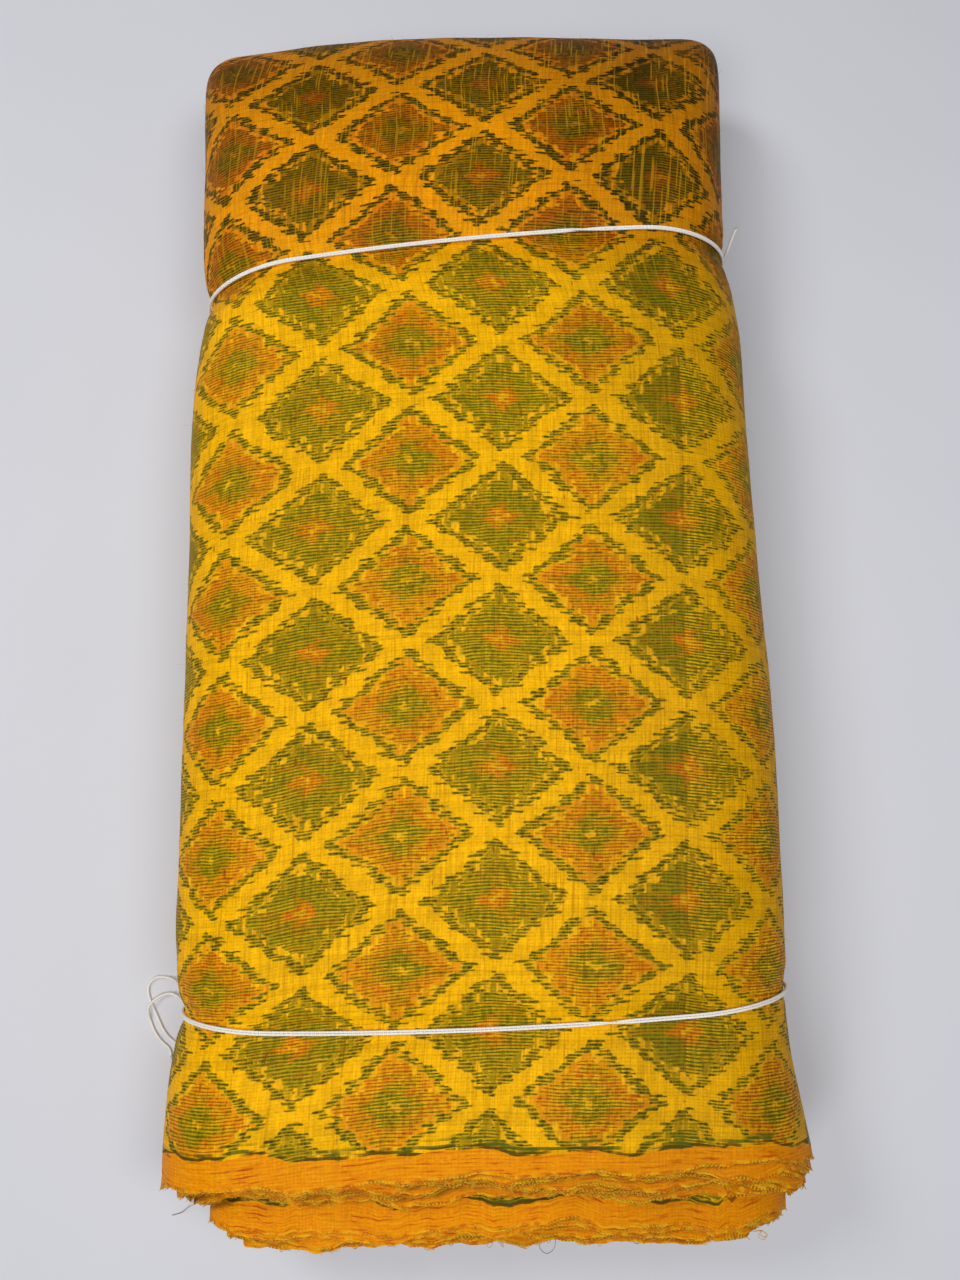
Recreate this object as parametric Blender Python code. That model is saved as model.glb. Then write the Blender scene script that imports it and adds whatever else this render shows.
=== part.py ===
"""A bolt of ikat silk, wound flat and held by two doubled strings.

The cloth is folded selvedge to selvedge and wound flat, with no core. The bolt lies on its broad side:
+X to the right, +Y from the selvedge end to the rounded end, +Z up, in metres. Its origin is the middle of
the rectangle that it covers on the surface it rests on.
"""

import math
from collections import namedtuple

import bmesh
import bpy
import numpy as np
from mathutils import Vector

# Cloth bolt: one closed skin of rings, from the rounded end to the innermost of its laps.
SIDE_ROUND = 0.046  # how far the rounded sides reach in from the widest line
FLAT_STEPS = 10  # ring segments across the top, and as many across the underside
SIDE_STEPS = 10  # ring segments round each side
NOSE_LENGTH = 0.1055  # rounded end, from its start to its tip
NOSE_SAG = 0.004  # how far the tip's middle hangs below the bolt's middle
NOSE_TIP_ANGLE = math.radians(86)  # where the rounded end stops at a narrow flat tip
NOSE_RINGS = 9
NOSE_FLARE = (0.0043, 0.0015)  # how far the rounded end widens at its left and right
CORNERS = (0.030, 0.020)  # how far the rounded end then draws in at its left and right corners
CORNER_POWER = 24  # the higher, the squarer the corners seen from above
TIP_DROP = 0.016  # how far the tip falls back at its left corner
TIP_DROP_FROM = -0.025  # x from which the tip falls back towards the left
LAP = 0.007  # bundle of turns that lies together at the selvedge end
GAP_ROOT = 0.0005  # between two laps, where the lower tie presses them together
GAP_MOUTH = 0.0012  # between two laps, at their selvedges
LAP_ROOT = -0.1985  # y where the laps part
LAP_MOUTHS = (-0.2455, -0.2515, -0.2585, -0.2745, -0.2812, -0.2856)  # y of each lap's selvedge, outer lap first
SIDE_REACH = 0.35  # share of its way to the innermost selvedge that a lap's selvedge stands out at its sides
LAP_RINGS = 3
MOUTH_SLANT = 0.020  # the selvedges run back towards the right
MOUTH_WAVE = 0.0012  # half height of the waves in a selvedge
WAVES = (95.0, 210.0)  # how fast a selvedge's two waves run, in radians for each metre across
WAVE_SHIFT = 1.7  # between one lap's waves and the next lap's, in radians
SLANT_FROM = -0.2175  # the slant and the waves grow from here to the selvedges
SHARP = math.radians(50)  # edges past this angle aren't shaded smooth

# String: two strands side by side, each of this diameter.
STRAND = 0.0014
CLEARANCE = 0.0003  # between the cloth and what lies on it
KNOT_CLEARANCE = 0.0005  # between a knot and the strings that leave it
KNOT = Vector((0.0020, 0.0034, 0.0030))  # half sizes: off the cloth, along the bolt, along the string
END_STEP = 0.0035  # between the points of a free end

Section = namedtuple("Section", "y left right top lift tilt bow")
# One row for each ring of the body. left and right are the widest line, top and lift the heights of the
# upper and lower faces. tilt slopes a ring towards +Y for each metre to the right, and bow moves the middle
# of its upper face along +Y.
SECTIONS = (
    Section(-0.2875, -0.1422, 0.1447, 0.0830, 0.0000, 0.000, 0.0000),
    Section(-0.2475, -0.1420, 0.1442, 0.0838, 0.0000, 0.000, 0.0000),
    Section(-0.2275, -0.1408, 0.1404, 0.0838, 0.0000, 0.000, 0.0000),
    Section(-0.2070, -0.1388, 0.1362, 0.0826, 0.0000, 0.020, -0.0015),
    Section(-0.1915, -0.1366, 0.1350, 0.0812, 0.0000, 0.045, -0.0045),
    Section(-0.1865, -0.1346, 0.1344, 0.0798, 0.0026, 0.045, -0.0045),
    Section(-0.1840, -0.1346, 0.1344, 0.0798, 0.0026, 0.045, -0.0045),
    Section(-0.1815, -0.1346, 0.1344, 0.0798, 0.0026, 0.045, -0.0045),
    Section(-0.1765, -0.1370, 0.1352, 0.0814, 0.0000, 0.045, -0.0045),
    Section(-0.1600, -0.1392, 0.1352, 0.0832, 0.0000, 0.020, -0.0020),
    Section(-0.1225, -0.1402, 0.1342, 0.0840, 0.0000, 0.000, 0.0000),
    Section(-0.0825, -0.1402, 0.1336, 0.0842, 0.0000, 0.000, 0.0000),
    Section(-0.0425, -0.1404, 0.1318, 0.0844, 0.0000, 0.000, 0.0000),
    Section(-0.0025, -0.1412, 0.1288, 0.0844, 0.0000, 0.015, 0.0000),
    Section(0.0375, -0.1420, 0.1264, 0.0843, 0.0000, 0.040, 0.0015),
    Section(0.0775, -0.1426, 0.1246, 0.0840, 0.0000, 0.070, 0.0035),
    Section(0.1200, -0.1414, 0.1216, 0.0832, 0.0000, 0.100, 0.0055),
    Section(0.1455, -0.1380, 0.1164, 0.0816, 0.0000, 0.108, 0.0060),
    Section(0.1505, -0.1362, 0.1148, 0.0798, 0.0026, 0.108, 0.0060),
    Section(0.1530, -0.1362, 0.1148, 0.0798, 0.0026, 0.108, 0.0060),
    Section(0.1555, -0.1362, 0.1148, 0.0798, 0.0026, 0.108, 0.0060),
    Section(0.1605, -0.1384, 0.1158, 0.0812, 0.0000, 0.105, 0.0060),
    Section(0.1840, -0.1412, 0.1158, 0.0834, 0.0000, 0.060, 0.0040),
)
LOWER_TIE_Y = -0.1840
UPPER_TIE_Y = 0.1530

Knot = namedtuple("Knot", "tie_y point")
# point is the place of the knot in its ring: each side has SIDE_STEPS points, from the top down on the left
# and from the underside up on the right.
LOWER_KNOT = Knot(LOWER_TIE_Y, FLAT_STEPS + 6)
UPPER_KNOT = Knot(UPPER_TIE_Y, 2 * FLAT_STEPS + SIDE_STEPS + 3)

ON_SURFACE = 0.0009  # height of a strand's middle where it lies on the surface under the bolt
# The strings' free ends, each from its knot outwards.
FREE_ENDS = {
    "lower_end_a": (
        (-0.1420, -0.1875, 0.0215),
        (-0.1475, -0.1878, 0.0105),
        (-0.1520, -0.1870, 0.0032),
        (-0.1568, -0.1857, ON_SURFACE),
        (-0.1622, -0.1857, ON_SURFACE),
        (-0.1656, -0.1887, ON_SURFACE),
        (-0.1659, -0.1933, ON_SURFACE),
        (-0.1641, -0.1980, ON_SURFACE),
        (-0.1610, -0.2041, ON_SURFACE),
        (-0.1578, -0.2102, ON_SURFACE),
        (-0.1540, -0.2147, ON_SURFACE),
        (-0.1490, -0.2175, ON_SURFACE),
        (-0.1430, -0.2187, ON_SURFACE),
    ),
    "lower_end_b": (
        (-0.1385, -0.1945, 0.0235),
        (-0.1438, -0.1961, 0.0125),
        (-0.1492, -0.1949, 0.0040),
        (-0.1550, -0.1932, 0.0012),
        (-0.1603, -0.1947, 0.0020),
        (-0.1641, -0.1980, 0.0031),
        (-0.1652, -0.2018, 0.0020),
        (-0.1640, -0.2067, ON_SURFACE),
        (-0.1614, -0.2120, ON_SURFACE),
        (-0.1578, -0.2163, ON_SURFACE),
        (-0.1545, -0.2191, ON_SURFACE),
        (-0.1532, -0.2225, ON_SURFACE),
    ),
    "upper_end_a": (
        (0.1125, 0.1695, 0.0190),
        (0.1165, 0.1722, 0.0240),
        (0.1190, 0.1748, 0.0310),
        (0.1204, 0.1778, 0.0370),
        (0.1222, 0.1830, 0.0398),
        (0.1244, 0.1885, 0.0405),
    ),
    "upper_end_b": (
        (0.1115, 0.1705, 0.0120),
        (0.1150, 0.1760, 0.0096),
        (0.1180, 0.1830, 0.0090),
        (0.1200, 0.1900, 0.0095),
        (0.1215, 0.1960, 0.0105),
    ),
}

SILK = (0.80, 0.42, 0.03, 1.0)
STRING_WHITE = (0.88, 0.87, 0.84, 1.0)


def clear_scene():
    """Removes every object, so that the scene holds only the bolt."""
    for item in list(bpy.data.objects):
        bpy.data.objects.remove(item, do_unlink=True)


def eased(column, y):
    """The value of a column of SECTIONS at y, on cubic pieces through its rows."""
    stations = np.array([row.y for row in SECTIONS])
    values = np.array([getattr(row, column) for row in SECTIONS])
    slopes = np.gradient(values, stations)
    i = int(np.clip(np.searchsorted(stations, y) - 1, 0, len(stations) - 2))
    span = stations[i + 1] - stations[i]
    t = (y - stations[i]) / span
    start = (1 + 2 * t) * (1 - t) ** 2 * values[i] + t * (1 - t) ** 2 * span * slopes[i]
    return float(start + t * t * (3 - 2 * t) * values[i + 1] + t * t * (t - 1) * span * slopes[i + 1])


def section_at(y):
    """The section at y between the rows of SECTIONS."""
    section = Section(y, *(eased(column, y) for column in Section._fields[1:]))
    return section._replace(lift=max(0.0, section.lift))


def outline(section, inset=0.0, flat_steps=FLAT_STEPS, side_steps=SIDE_STEPS):
    """Points round a flattened turn, this far inside the section: over the top, down the left side, back
    under and up the right side."""
    middle = (section.top + section.lift) / 2
    height = (section.top - section.lift) / 2 - inset
    side = SIDE_ROUND - inset
    left = section.left + SIDE_ROUND
    right = section.right - SIDE_ROUND
    flat = [right + (left - right) * i / flat_steps for i in range(flat_steps)]
    turn = [math.pi * i / side_steps for i in range(side_steps)]
    points = [(x, middle + height) for x in flat]
    points += [(left - side * math.sin(a), middle + height * math.cos(a)) for a in turn]
    points += [(left + right - x, middle - height) for x in flat]
    points += [(right + side * math.sin(a), middle - height * math.cos(a)) for a in turn]
    centre = (section.left + section.right) / 2
    half = (section.right - section.left) / 2
    placed = []
    for x, z in points:
        across = (x - centre) / half
        upper = max(0.0, (z - middle) / height)
        y = section.y + section.tilt * (x - centre) + section.bow * upper * (1 - across**2)
        placed.append(Vector((x, y, z)))
    return placed


def nose_ring(angle):
    """A ring of the rounded end, from its start at angle 0 to its flat tip."""
    start = SECTIONS[-1]
    forward = math.sin(angle)
    draw_in = forward**CORNER_POWER
    height = start.top / 2 * math.cos(angle)
    middle = start.top / 2 - NOSE_SAG * forward**2
    section = start._replace(
        y=start.y + NOSE_LENGTH * forward,
        left=start.left - NOSE_FLARE[0] * forward + CORNERS[0] * draw_in,
        right=start.right + NOSE_FLARE[1] * forward - CORNERS[1] * draw_in,
        top=middle + height,
        lift=middle - height,
        tilt=start.tilt * (1 - forward),
        bow=start.bow * (1 - forward),
    )
    ring = outline(section)
    for point in ring:
        leftward = max(0.0, (TIP_DROP_FROM - point.x) / (TIP_DROP_FROM - section.left))
        point.y -= TIP_DROP * forward**2 * leftward**1.5
    return ring


def lap_ring(lap, y, inset):
    """A ring of one lap between the place where the laps part and its slanting, wavy selvedge."""
    section = section_at(y)
    middle = (section.top + section.lift) / 2
    grown = min(1.0, max(0.0, (SLANT_FROM - y) / (SLANT_FROM - LAP_MOUTHS[lap])))
    stand_out = SIDE_REACH * (LAP_MOUTHS[lap] - LAP_MOUTHS[-1])
    shift = WAVE_SHIFT * lap
    ring = outline(section, inset)
    for point in ring:
        sideways = 1 - abs(point.z - middle) / (section.top - middle - inset)
        wave = math.sin(point.x * WAVES[0] + shift) + math.sin(point.x * WAVES[1] - 2 * shift) / 2
        point.y += grown * (MOUTH_SLANT * point.x + MOUTH_WAVE * wave - stand_out * sideways)
    return ring


def lap_rings():
    """Rings out along each lap, round its selvedge and back to the next lap, then along the innermost."""
    rings = []
    for lap, mouth in enumerate(LAP_MOUTHS):
        stations = np.linspace(LAP_ROOT, mouth, LAP_RINGS)
        rings += [lap_ring(lap, y, lap * LAP) for y in stations]
        if lap + 1 < len(LAP_MOUTHS):
            gaps = np.linspace(GAP_ROOT, GAP_MOUTH, LAP_RINGS)
            back = reversed(list(zip(stations, gaps)))
            rings += [lap_ring(lap, y, (lap + 1) * LAP - gap) for y, gap in back]
    return rings


def close_ring(mesh, row):
    """Faces across a ring, between each point of its upper half and the point below it."""
    below = 2 * FLAT_STEPS + SIDE_STEPS
    for i in range(-SIDE_STEPS // 2, FLAT_STEPS + SIDE_STEPS // 2):
        corners = (row[i], row[i + 1], row[below - i - 1], row[below - i])
        mesh.faces.new(list(dict.fromkeys(corners)))


def skin(rings):
    """A closed mesh through rings of equal length, with a cap at each end."""
    mesh = bmesh.new()
    rows = [[mesh.verts.new(point) for point in ring] for ring in rings]
    count = len(rows[0])
    for near, far in zip(rows, rows[1:]):
        for i in range(count):
            j = (i + 1) % count
            mesh.faces.new((near[i], near[j], far[j], far[i]))
    close_ring(mesh, rows[0])
    close_ring(mesh, rows[-1])
    bmesh.ops.recalc_face_normals(mesh, faces=mesh.faces)
    return mesh


def material(name, colour, roughness):
    """A plain Principled material."""
    made = bpy.data.materials.new(name)
    made.use_nodes = True
    shader = made.node_tree.nodes["Principled BSDF"]
    shader.inputs["Base Color"].default_value = colour
    shader.inputs["Roughness"].default_value = roughness
    return made


def place(item, collection, look):
    """Puts an object in the collection with its material."""
    collection.objects.link(item)
    item.data.materials.append(look)
    return item


def make_cloth(collection, look):
    """The cloth as one solid: rounded end, body and laps."""
    angles = np.linspace(NOSE_TIP_ANGLE, 0, NOSE_RINGS, endpoint=False)
    rings = [nose_ring(angle) for angle in angles]
    rings += [outline(row) for row in reversed(SECTIONS) if row.y > LAP_ROOT]
    rings += lap_rings()
    mesh = skin(rings)
    data = bpy.data.meshes.new("cloth_bolt")
    mesh.to_mesh(data)
    mesh.free()
    data.shade_smooth()
    data.set_sharp_from_angle(angle=SHARP)
    place(bpy.data.objects.new("cloth_bolt", data), collection, look)


def resampled(points, step):
    """Points about a step apart along a line through many close points, with both its ends."""
    line = np.array([tuple(p) for p in points])
    reach = np.concatenate(([0.0], np.cumsum(np.linalg.norm(np.diff(line, axis=0), axis=1))))
    count = max(3, round(reach[-1] / step) + 1)
    at = np.linspace(0.0, reach[-1], count)
    return [Vector([np.interp(a, reach, line[:, k]) for k in range(3)]) for a in at]


def smooth_line(points, pieces=12):
    """Close points on a Catmull-Rom curve through a route's own points."""
    ends = [points[0] * 2 - points[1], *points, points[-1] * 2 - points[-2]]
    line = []
    for a, b, c, d in zip(ends, ends[1:], ends[2:], ends[3:]):
        for i in range(pieces):
            t = i / pieces
            line.append(0.5 * (2 * b + (c - a) * t + (2 * a - 5 * b + 4 * c - d) * t**2
                               + (3 * b - a - 3 * c + d) * t**3))
    return [*line, points[-1]]


def knot_frame(knot):
    """The point of its tie's ring that a knot lies on, and the directions off the cloth and along the ring."""
    ring = outline(section_at(knot.tie_y))
    spot = ring[knot.point]
    along = (ring[knot.point + 1] - ring[knot.point - 1]).normalized()
    out = Vector((0.0, 1.0, 0.0)).cross(along).normalized()
    return spot, out, along


def knot_centre(knot):
    """The middle of a knot that lies on the cloth."""
    spot, out, _ = knot_frame(knot)
    return spot + out * (KNOT.x + CLEARANCE)


def tie_route(knot):
    """The string's line round the cloth, from one face of its knot to the other."""
    loop = outline(section_at(knot.tie_y), -(CLEARANCE + STRAND / 2))
    loop = loop[knot.point + 1 :] + loop[: knot.point]
    return [knot_face(knot, loop[0]), *loop, knot_face(knot, loop[-1])]


def strand_pair_profile(guides):
    """Outline of two strands lying side by side, a guide for the ties' section."""
    curve = bpy.data.curves.new("strand_pair_profile", "CURVE")
    curve.dimensions = "2D"
    spline = curve.splines.new("POLY")
    corners = 8
    spline.points.add(corners - 1)
    for i, point in enumerate(spline.points):
        angle = -2 * math.pi * (i + 0.5) / corners
        point.co = (STRAND * math.cos(angle), STRAND / 2 * math.sin(angle), 0.0, 1.0)
    spline.use_cyclic_u = True
    profile = bpy.data.objects.new("strand_pair_profile", curve)
    profile.hide_render = True
    profile.display_type = "WIRE"
    guides.objects.link(profile)
    return profile


def string_curve(name, points):
    """A 3D curve object through the points, with filled caps and no thickness yet."""
    curve = bpy.data.curves.new(name, "CURVE")
    curve.dimensions = "3D"
    curve.use_fill_caps = True
    spline = curve.splines.new("POLY")
    spline.points.add(len(points) - 1)
    for point, place_at in zip(spline.points, points):
        point.co = (*place_at, 1.0)
    return bpy.data.objects.new(name, curve)


def make_tie(name, knot, profile, collection, look):
    """A doubled string round the cloth."""
    tie = string_curve(name, tie_route(knot))
    tie.data.bevel_mode = "OBJECT"
    tie.data.bevel_object = profile
    place(tie, collection, look)


def make_knot(name, knot, collection, look):
    """A pulled knot that lies on the cloth at the tie's side."""
    _, out, along = knot_frame(knot)
    bpy.ops.mesh.primitive_uv_sphere_add(segments=12, ring_count=8, radius=1.0)
    lump = bpy.context.object
    lump.name = name
    lump.data.name = name
    sideways = along.cross(out)
    for vertex in lump.data.vertices:
        x, y, z = vertex.co
        vertex.co = out * (KNOT.x * x) + sideways * (KNOT.y * y) + along * (KNOT.z * z)
    lump.location = knot_centre(knot)
    lump.data.shade_smooth()
    for owner in list(lump.users_collection):
        owner.objects.unlink(lump)
    place(lump, collection, look)


def knot_face(knot, towards):
    """The place just off a knot's surface on the way to another point."""
    _, out, along = knot_frame(knot)
    centre = knot_centre(knot)
    away = (towards - centre).normalized()
    axes = (out, along.cross(out), along)
    surface = 1 / math.sqrt(sum((away.dot(axis) / size) ** 2 for axis, size in zip(axes, KNOT)))
    return centre + away * (surface + KNOT_CLEARANCE)


def make_free_end(name, knot, collection, look):
    """A strand from the face of its knot to its cut end."""
    route = [Vector(point) for point in FREE_ENDS[name]]
    face = knot_face(knot, route[0])
    end = string_curve(name, resampled(smooth_line([face, *route]), END_STEP))
    end.data.bevel_depth = STRAND / 2
    end.data.bevel_resolution = 2
    place(end, collection, look)


def main():
    clear_scene()
    bolt = bpy.data.collections.new("ikat_bolt")
    guides = bpy.data.collections.new("guides")
    bpy.context.scene.collection.children.link(bolt)
    bpy.context.scene.collection.children.link(guides)
    silk = material("ikat_silk", SILK, 0.55)
    string = material("white_string", STRING_WHITE, 0.8)
    make_cloth(bolt, silk)
    profile = strand_pair_profile(guides)
    for name, knot in (("lower", LOWER_KNOT), ("upper", UPPER_KNOT)):
        make_tie(f"{name}_tie", knot, profile, bolt, string)
        make_knot(f"{name}_knot", knot, bolt, string)
        make_free_end(f"{name}_end_a", knot, bolt, string)
        make_free_end(f"{name}_end_b", knot, bolt, string)


main()
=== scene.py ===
import math
from collections import namedtuple

import bpy
import numpy as np
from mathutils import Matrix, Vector


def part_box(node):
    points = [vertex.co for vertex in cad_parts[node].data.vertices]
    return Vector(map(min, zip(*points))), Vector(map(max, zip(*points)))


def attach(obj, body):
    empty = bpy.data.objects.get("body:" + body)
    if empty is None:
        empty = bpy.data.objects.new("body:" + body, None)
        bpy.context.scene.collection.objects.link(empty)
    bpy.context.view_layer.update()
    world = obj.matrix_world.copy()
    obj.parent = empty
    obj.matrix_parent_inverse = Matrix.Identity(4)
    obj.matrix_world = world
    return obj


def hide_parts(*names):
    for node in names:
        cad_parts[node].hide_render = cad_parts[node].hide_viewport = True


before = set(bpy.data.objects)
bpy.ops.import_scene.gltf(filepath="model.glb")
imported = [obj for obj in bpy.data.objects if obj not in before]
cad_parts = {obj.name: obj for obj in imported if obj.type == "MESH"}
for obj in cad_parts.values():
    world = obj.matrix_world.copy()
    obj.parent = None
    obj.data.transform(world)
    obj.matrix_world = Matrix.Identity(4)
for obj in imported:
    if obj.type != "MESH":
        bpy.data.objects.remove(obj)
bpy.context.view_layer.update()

bl_info = {
    "name": "Ikat silk bolt",
    "version": (1, 0, 0),
    "blender": (4, 5, 0),
    "location": "View3D > Sidebar > Ikat bolt",
    "description": "Models a bolt of ikat silk, wound flat and tied round with string",
    "category": "Add Mesh",
}

# ---------------------------------------------------------------------------------------------------------
# Sizes, in metres. +X is to the right across the bolt, +Y runs from the selvedge end to the rounded end.

SIDE_ROUND = 0.046  # how far the rounded sides reach in from the widest line
FLAT_STEPS = 80  # ring segments across the top, and as many across the underside
SIDE_STEPS = 60  # ring segments round each side
NOSE_LENGTH = 0.1055  # rounded end, from its start to its tip
NOSE_SQUARE = 0.62  # share by which the sides' rounding shrinks towards the tip
NOSE_SAG = 0.004  # how far the tip's middle hangs below the bolt's middle
NOSE_FLARE = (0.0043, 0.0015)  # how far the rounded end widens at its left and right
CORNERS = (0.030, 0.020)  # how far the rounded end then draws in at its left and right corners
CORNER_POWER = 24  # the higher, the squarer the corners seen from above
TIP_DROP = 0.016  # how far the tip falls back at its left corner
TIP_DROP_FROM = -0.025  # x from which the tip falls back towards the left
NOSE_END = math.radians(84.5)  # where the two folded edges start to turn in at the tip
# Past that, each ring of the turned-in edges, by its place along Y and half its height.
LIP = ((0.0004, 0.0030), (0.0003, 0.0020), (-0.0004, 0.0012), (-0.0022, 0.0009), (-0.0080, 0.0008))

LAP = 0.007  # bundle of turns that lies together at the selvedge end
LAP_MOUTHS = (-0.2455, -0.2515, -0.2585, -0.2745, -0.2812, -0.2856)  # y of each lap's selvedge
LAP_SPREADS = (0.60, 0.55, 0.12, 0.55, 0.60, 0.0)  # share of the way to the next lap that a lap's turns fill
# At their right side the turns lie closer together, so one this deep stands out by the second number.
RIGHT_PACKED = ((0.000, 0.000), (0.020, 0.0105), (0.026, 0.0095), (0.034, 0.0060), (0.042, 0.0020))
SIDE_REACH = 0.35  # share of its way to the innermost selvedge that a turn stands out at its sides
MOUTH_SLANT = 0.020  # the selvedges run back towards the right
OUTER_SLANT = 0.030  # and the outer turn's selvedge by this much more
SLANT_FROM = -0.2175  # the slant and the waves grow from here to the selvedges
CLOTH_ROOT = -0.2030  # the outer turn's inner face ends here, behind the other turns
TURNS = 46  # turns that show at the selvedge end, inside the outer one
TURN_SHOWS = 0.013  # how far a turn reaches in behind the selvedge of the turn that covers it
TURN_SHIFT = 0.0237  # how far the lattice moves round the bolt from one turn to the next
TURN_SHARES = (0.0, 0.3, 0.55, 0.75, 0.9, 1.0)  # a turn's rings, by their share of its way to the selvedge
TURN_FLAT_STEPS = 84  # ring segments across the top of these turns
TURN_SIDE_STEPS = (56, 16)  # and round each side of the outermost and the innermost
CLOTH = 0.0006  # thickness of a turn of doubled cloth

STRAND = 0.0014  # diameter of the string
CLEARANCE = 0.0003  # between the cloth and what lies on it
ON_SURFACE = 0.0009  # height of a strand's middle where it lies on the table
KNOT_REACH = (0.0027, 0.0024, 0.0010)  # half a knot's size along the bolt, round it and out of it
KNOT_STEPS = 96  # points round a knot's loop
Tie = namedtuple("Tie", "name node knot_name knot y slant crossing")
# slant is how far a tie's string runs towards +Y for each metre to the right. Its two strands cross at x.
TIES = (
    Tie("lower_string", "lower_tie", "lower_knot_string", "lower_knot", -0.1840, 0.045, 0.052),
    Tie("upper_string", "upper_tie", "upper_knot_string", "upper_knot", 0.1530, 0.108, 0.040),
)

PITCH_X = 0.0805  # between two diamonds of one kind, across the bolt
PITCH_Y = 0.0544  # between two diamonds of one kind, along the bolt
LATTICE_X = 0.0032  # x of a crossing of the bands
LATTICE_Y = 0.0000  # y of the same crossing
# The cloth's pull shifts the lattice to the right by the second number at the y that comes first.
PULL_ACROSS = (
    (-0.245, -0.0040), (-0.215, -0.0020), (-0.160, 0.0000), (-0.100, 0.0010), (-0.050, 0.0020),
    (0.000, 0.0012), (0.050, 0.0028), (0.100, 0.0018), (0.130, -0.0010), (0.145, -0.0055),
    (0.162, -0.0085), (0.185, -0.0075), (0.215, -0.0050), (0.245, -0.0065), (0.290, -0.0030),
)
# In the same way it shifts the lattice along the bolt, by the place across.
PULL_ALONG = (
    (-0.170, -0.0160), (-0.125, -0.0110), (-0.080, -0.0045), (-0.040, -0.0003), (0.000, 0.0018),
    (0.040, 0.0014), (0.080, 0.0026), (0.120, -0.0005), (0.160, -0.0040),
)
# Past the upper tie it shifts the lattice along the bolt by this as well.
PULL_AT_NOSE = ((-0.150, -0.0020), (-0.080, -0.0042), (0.000, -0.0042), (0.045, 0.0000), (0.120, 0.0004))

Section = namedtuple("Section", "y left right top lift tilt bow")
# left and right are the widest line, top and lift the heights of the upper and lower faces. tilt slopes a
# ring towards +Y for each metre to the right, and bow moves the middle of its upper face along +Y.
SECTIONS = (
    Section(-0.2875, -0.1422, 0.1447, 0.0830, 0.0000, 0.000, 0.0000),
    Section(-0.2475, -0.1420, 0.1442, 0.0838, 0.0000, 0.000, 0.0000),
    Section(-0.2275, -0.1408, 0.1404, 0.0838, 0.0000, 0.000, 0.0000),
    Section(-0.2070, -0.1388, 0.1362, 0.0826, 0.0000, 0.020, -0.0015),
    Section(-0.1915, -0.1366, 0.1350, 0.0812, 0.0000, 0.045, -0.0045),
    Section(-0.1865, -0.1346, 0.1344, 0.0798, 0.0026, 0.045, -0.0045),
    Section(-0.1840, -0.1346, 0.1344, 0.0798, 0.0026, 0.045, -0.0045),
    Section(-0.1815, -0.1346, 0.1344, 0.0798, 0.0026, 0.045, -0.0045),
    Section(-0.1765, -0.1370, 0.1352, 0.0814, 0.0000, 0.045, -0.0045),
    Section(-0.1600, -0.1392, 0.1352, 0.0832, 0.0000, 0.020, -0.0020),
    Section(-0.1225, -0.1402, 0.1342, 0.0840, 0.0000, 0.000, 0.0000),
    Section(-0.0825, -0.1402, 0.1336, 0.0842, 0.0000, 0.000, 0.0000),
    Section(-0.0425, -0.1404, 0.1318, 0.0844, 0.0000, 0.000, 0.0000),
    Section(-0.0025, -0.1412, 0.1288, 0.0844, 0.0000, 0.015, 0.0000),
    Section(0.0375, -0.1420, 0.1264, 0.0843, 0.0000, 0.040, 0.0015),
    Section(0.0775, -0.1426, 0.1246, 0.0840, 0.0000, 0.070, 0.0035),
    Section(0.1200, -0.1414, 0.1216, 0.0832, 0.0000, 0.100, 0.0055),
    Section(0.1455, -0.1380, 0.1164, 0.0816, 0.0000, 0.108, 0.0060),
    Section(0.1505, -0.1362, 0.1148, 0.0798, 0.0026, 0.108, 0.0060),
    Section(0.1530, -0.1362, 0.1148, 0.0798, 0.0026, 0.108, 0.0060),
    Section(0.1555, -0.1362, 0.1148, 0.0798, 0.0026, 0.108, 0.0060),
    Section(0.1605, -0.1384, 0.1158, 0.0812, 0.0000, 0.105, 0.0060),
    Section(0.1840, -0.1412, 0.1158, 0.0834, 0.0000, 0.060, 0.0040),
)

LOOP_CHANCES = (0.8, 0.55, 0.22)  # of a loop: on the outer selvedge, on every third inside it, on the others
NAP = 900  # fibres that stand out of the cloth
FRAYS = 22  # loose fibres at each end of the string

Crease = namedtuple("Crease", "x0 y0 x1 y1 half_width depth")
# Soft troughs, or ridges where the depth is negative, in the upper face.
CREASES = (
    Crease(0.0020, 0.1475, 0.0560, 0.1478, 0.0016, 0.0006),
    Crease(0.0480, 0.1452, 0.0900, 0.1448, 0.0016, 0.0005),
    Crease(-0.0420, 0.1400, -0.0270, 0.1495, 0.0018, 0.0006),
    Crease(-0.1290, 0.0660, -0.1200, 0.0730, 0.0022, 0.0008),
    Crease(0.0600, 0.0125, 0.0980, -0.0040, 0.0030, 0.0005),
    Crease(-0.1190, 0.0905, -0.0920, 0.0990, 0.0035, 0.0004),
    Crease(-0.0600, 0.1400, -0.0980, 0.1180, 0.0045, 0.0004),
    Crease(0.0980, 0.1500, 0.1080, 0.1180, 0.0040, -0.0005),
    Crease(0.0350, -0.1930, 0.1180, -0.1890, 0.0035, 0.0004),
    Crease(-0.1180, -0.1985, -0.0200, -0.1990, 0.0040, 0.0004),
    Crease(-0.1250, -0.2130, -0.0300, -0.2040, 0.0060, -0.0005),
    Crease(-0.1300, -0.2260, -0.0650, -0.2230, 0.0050, 0.0005),
    Crease(0.0500, -0.2120, 0.1250, -0.2170, 0.0060, -0.0005),
)

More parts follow.
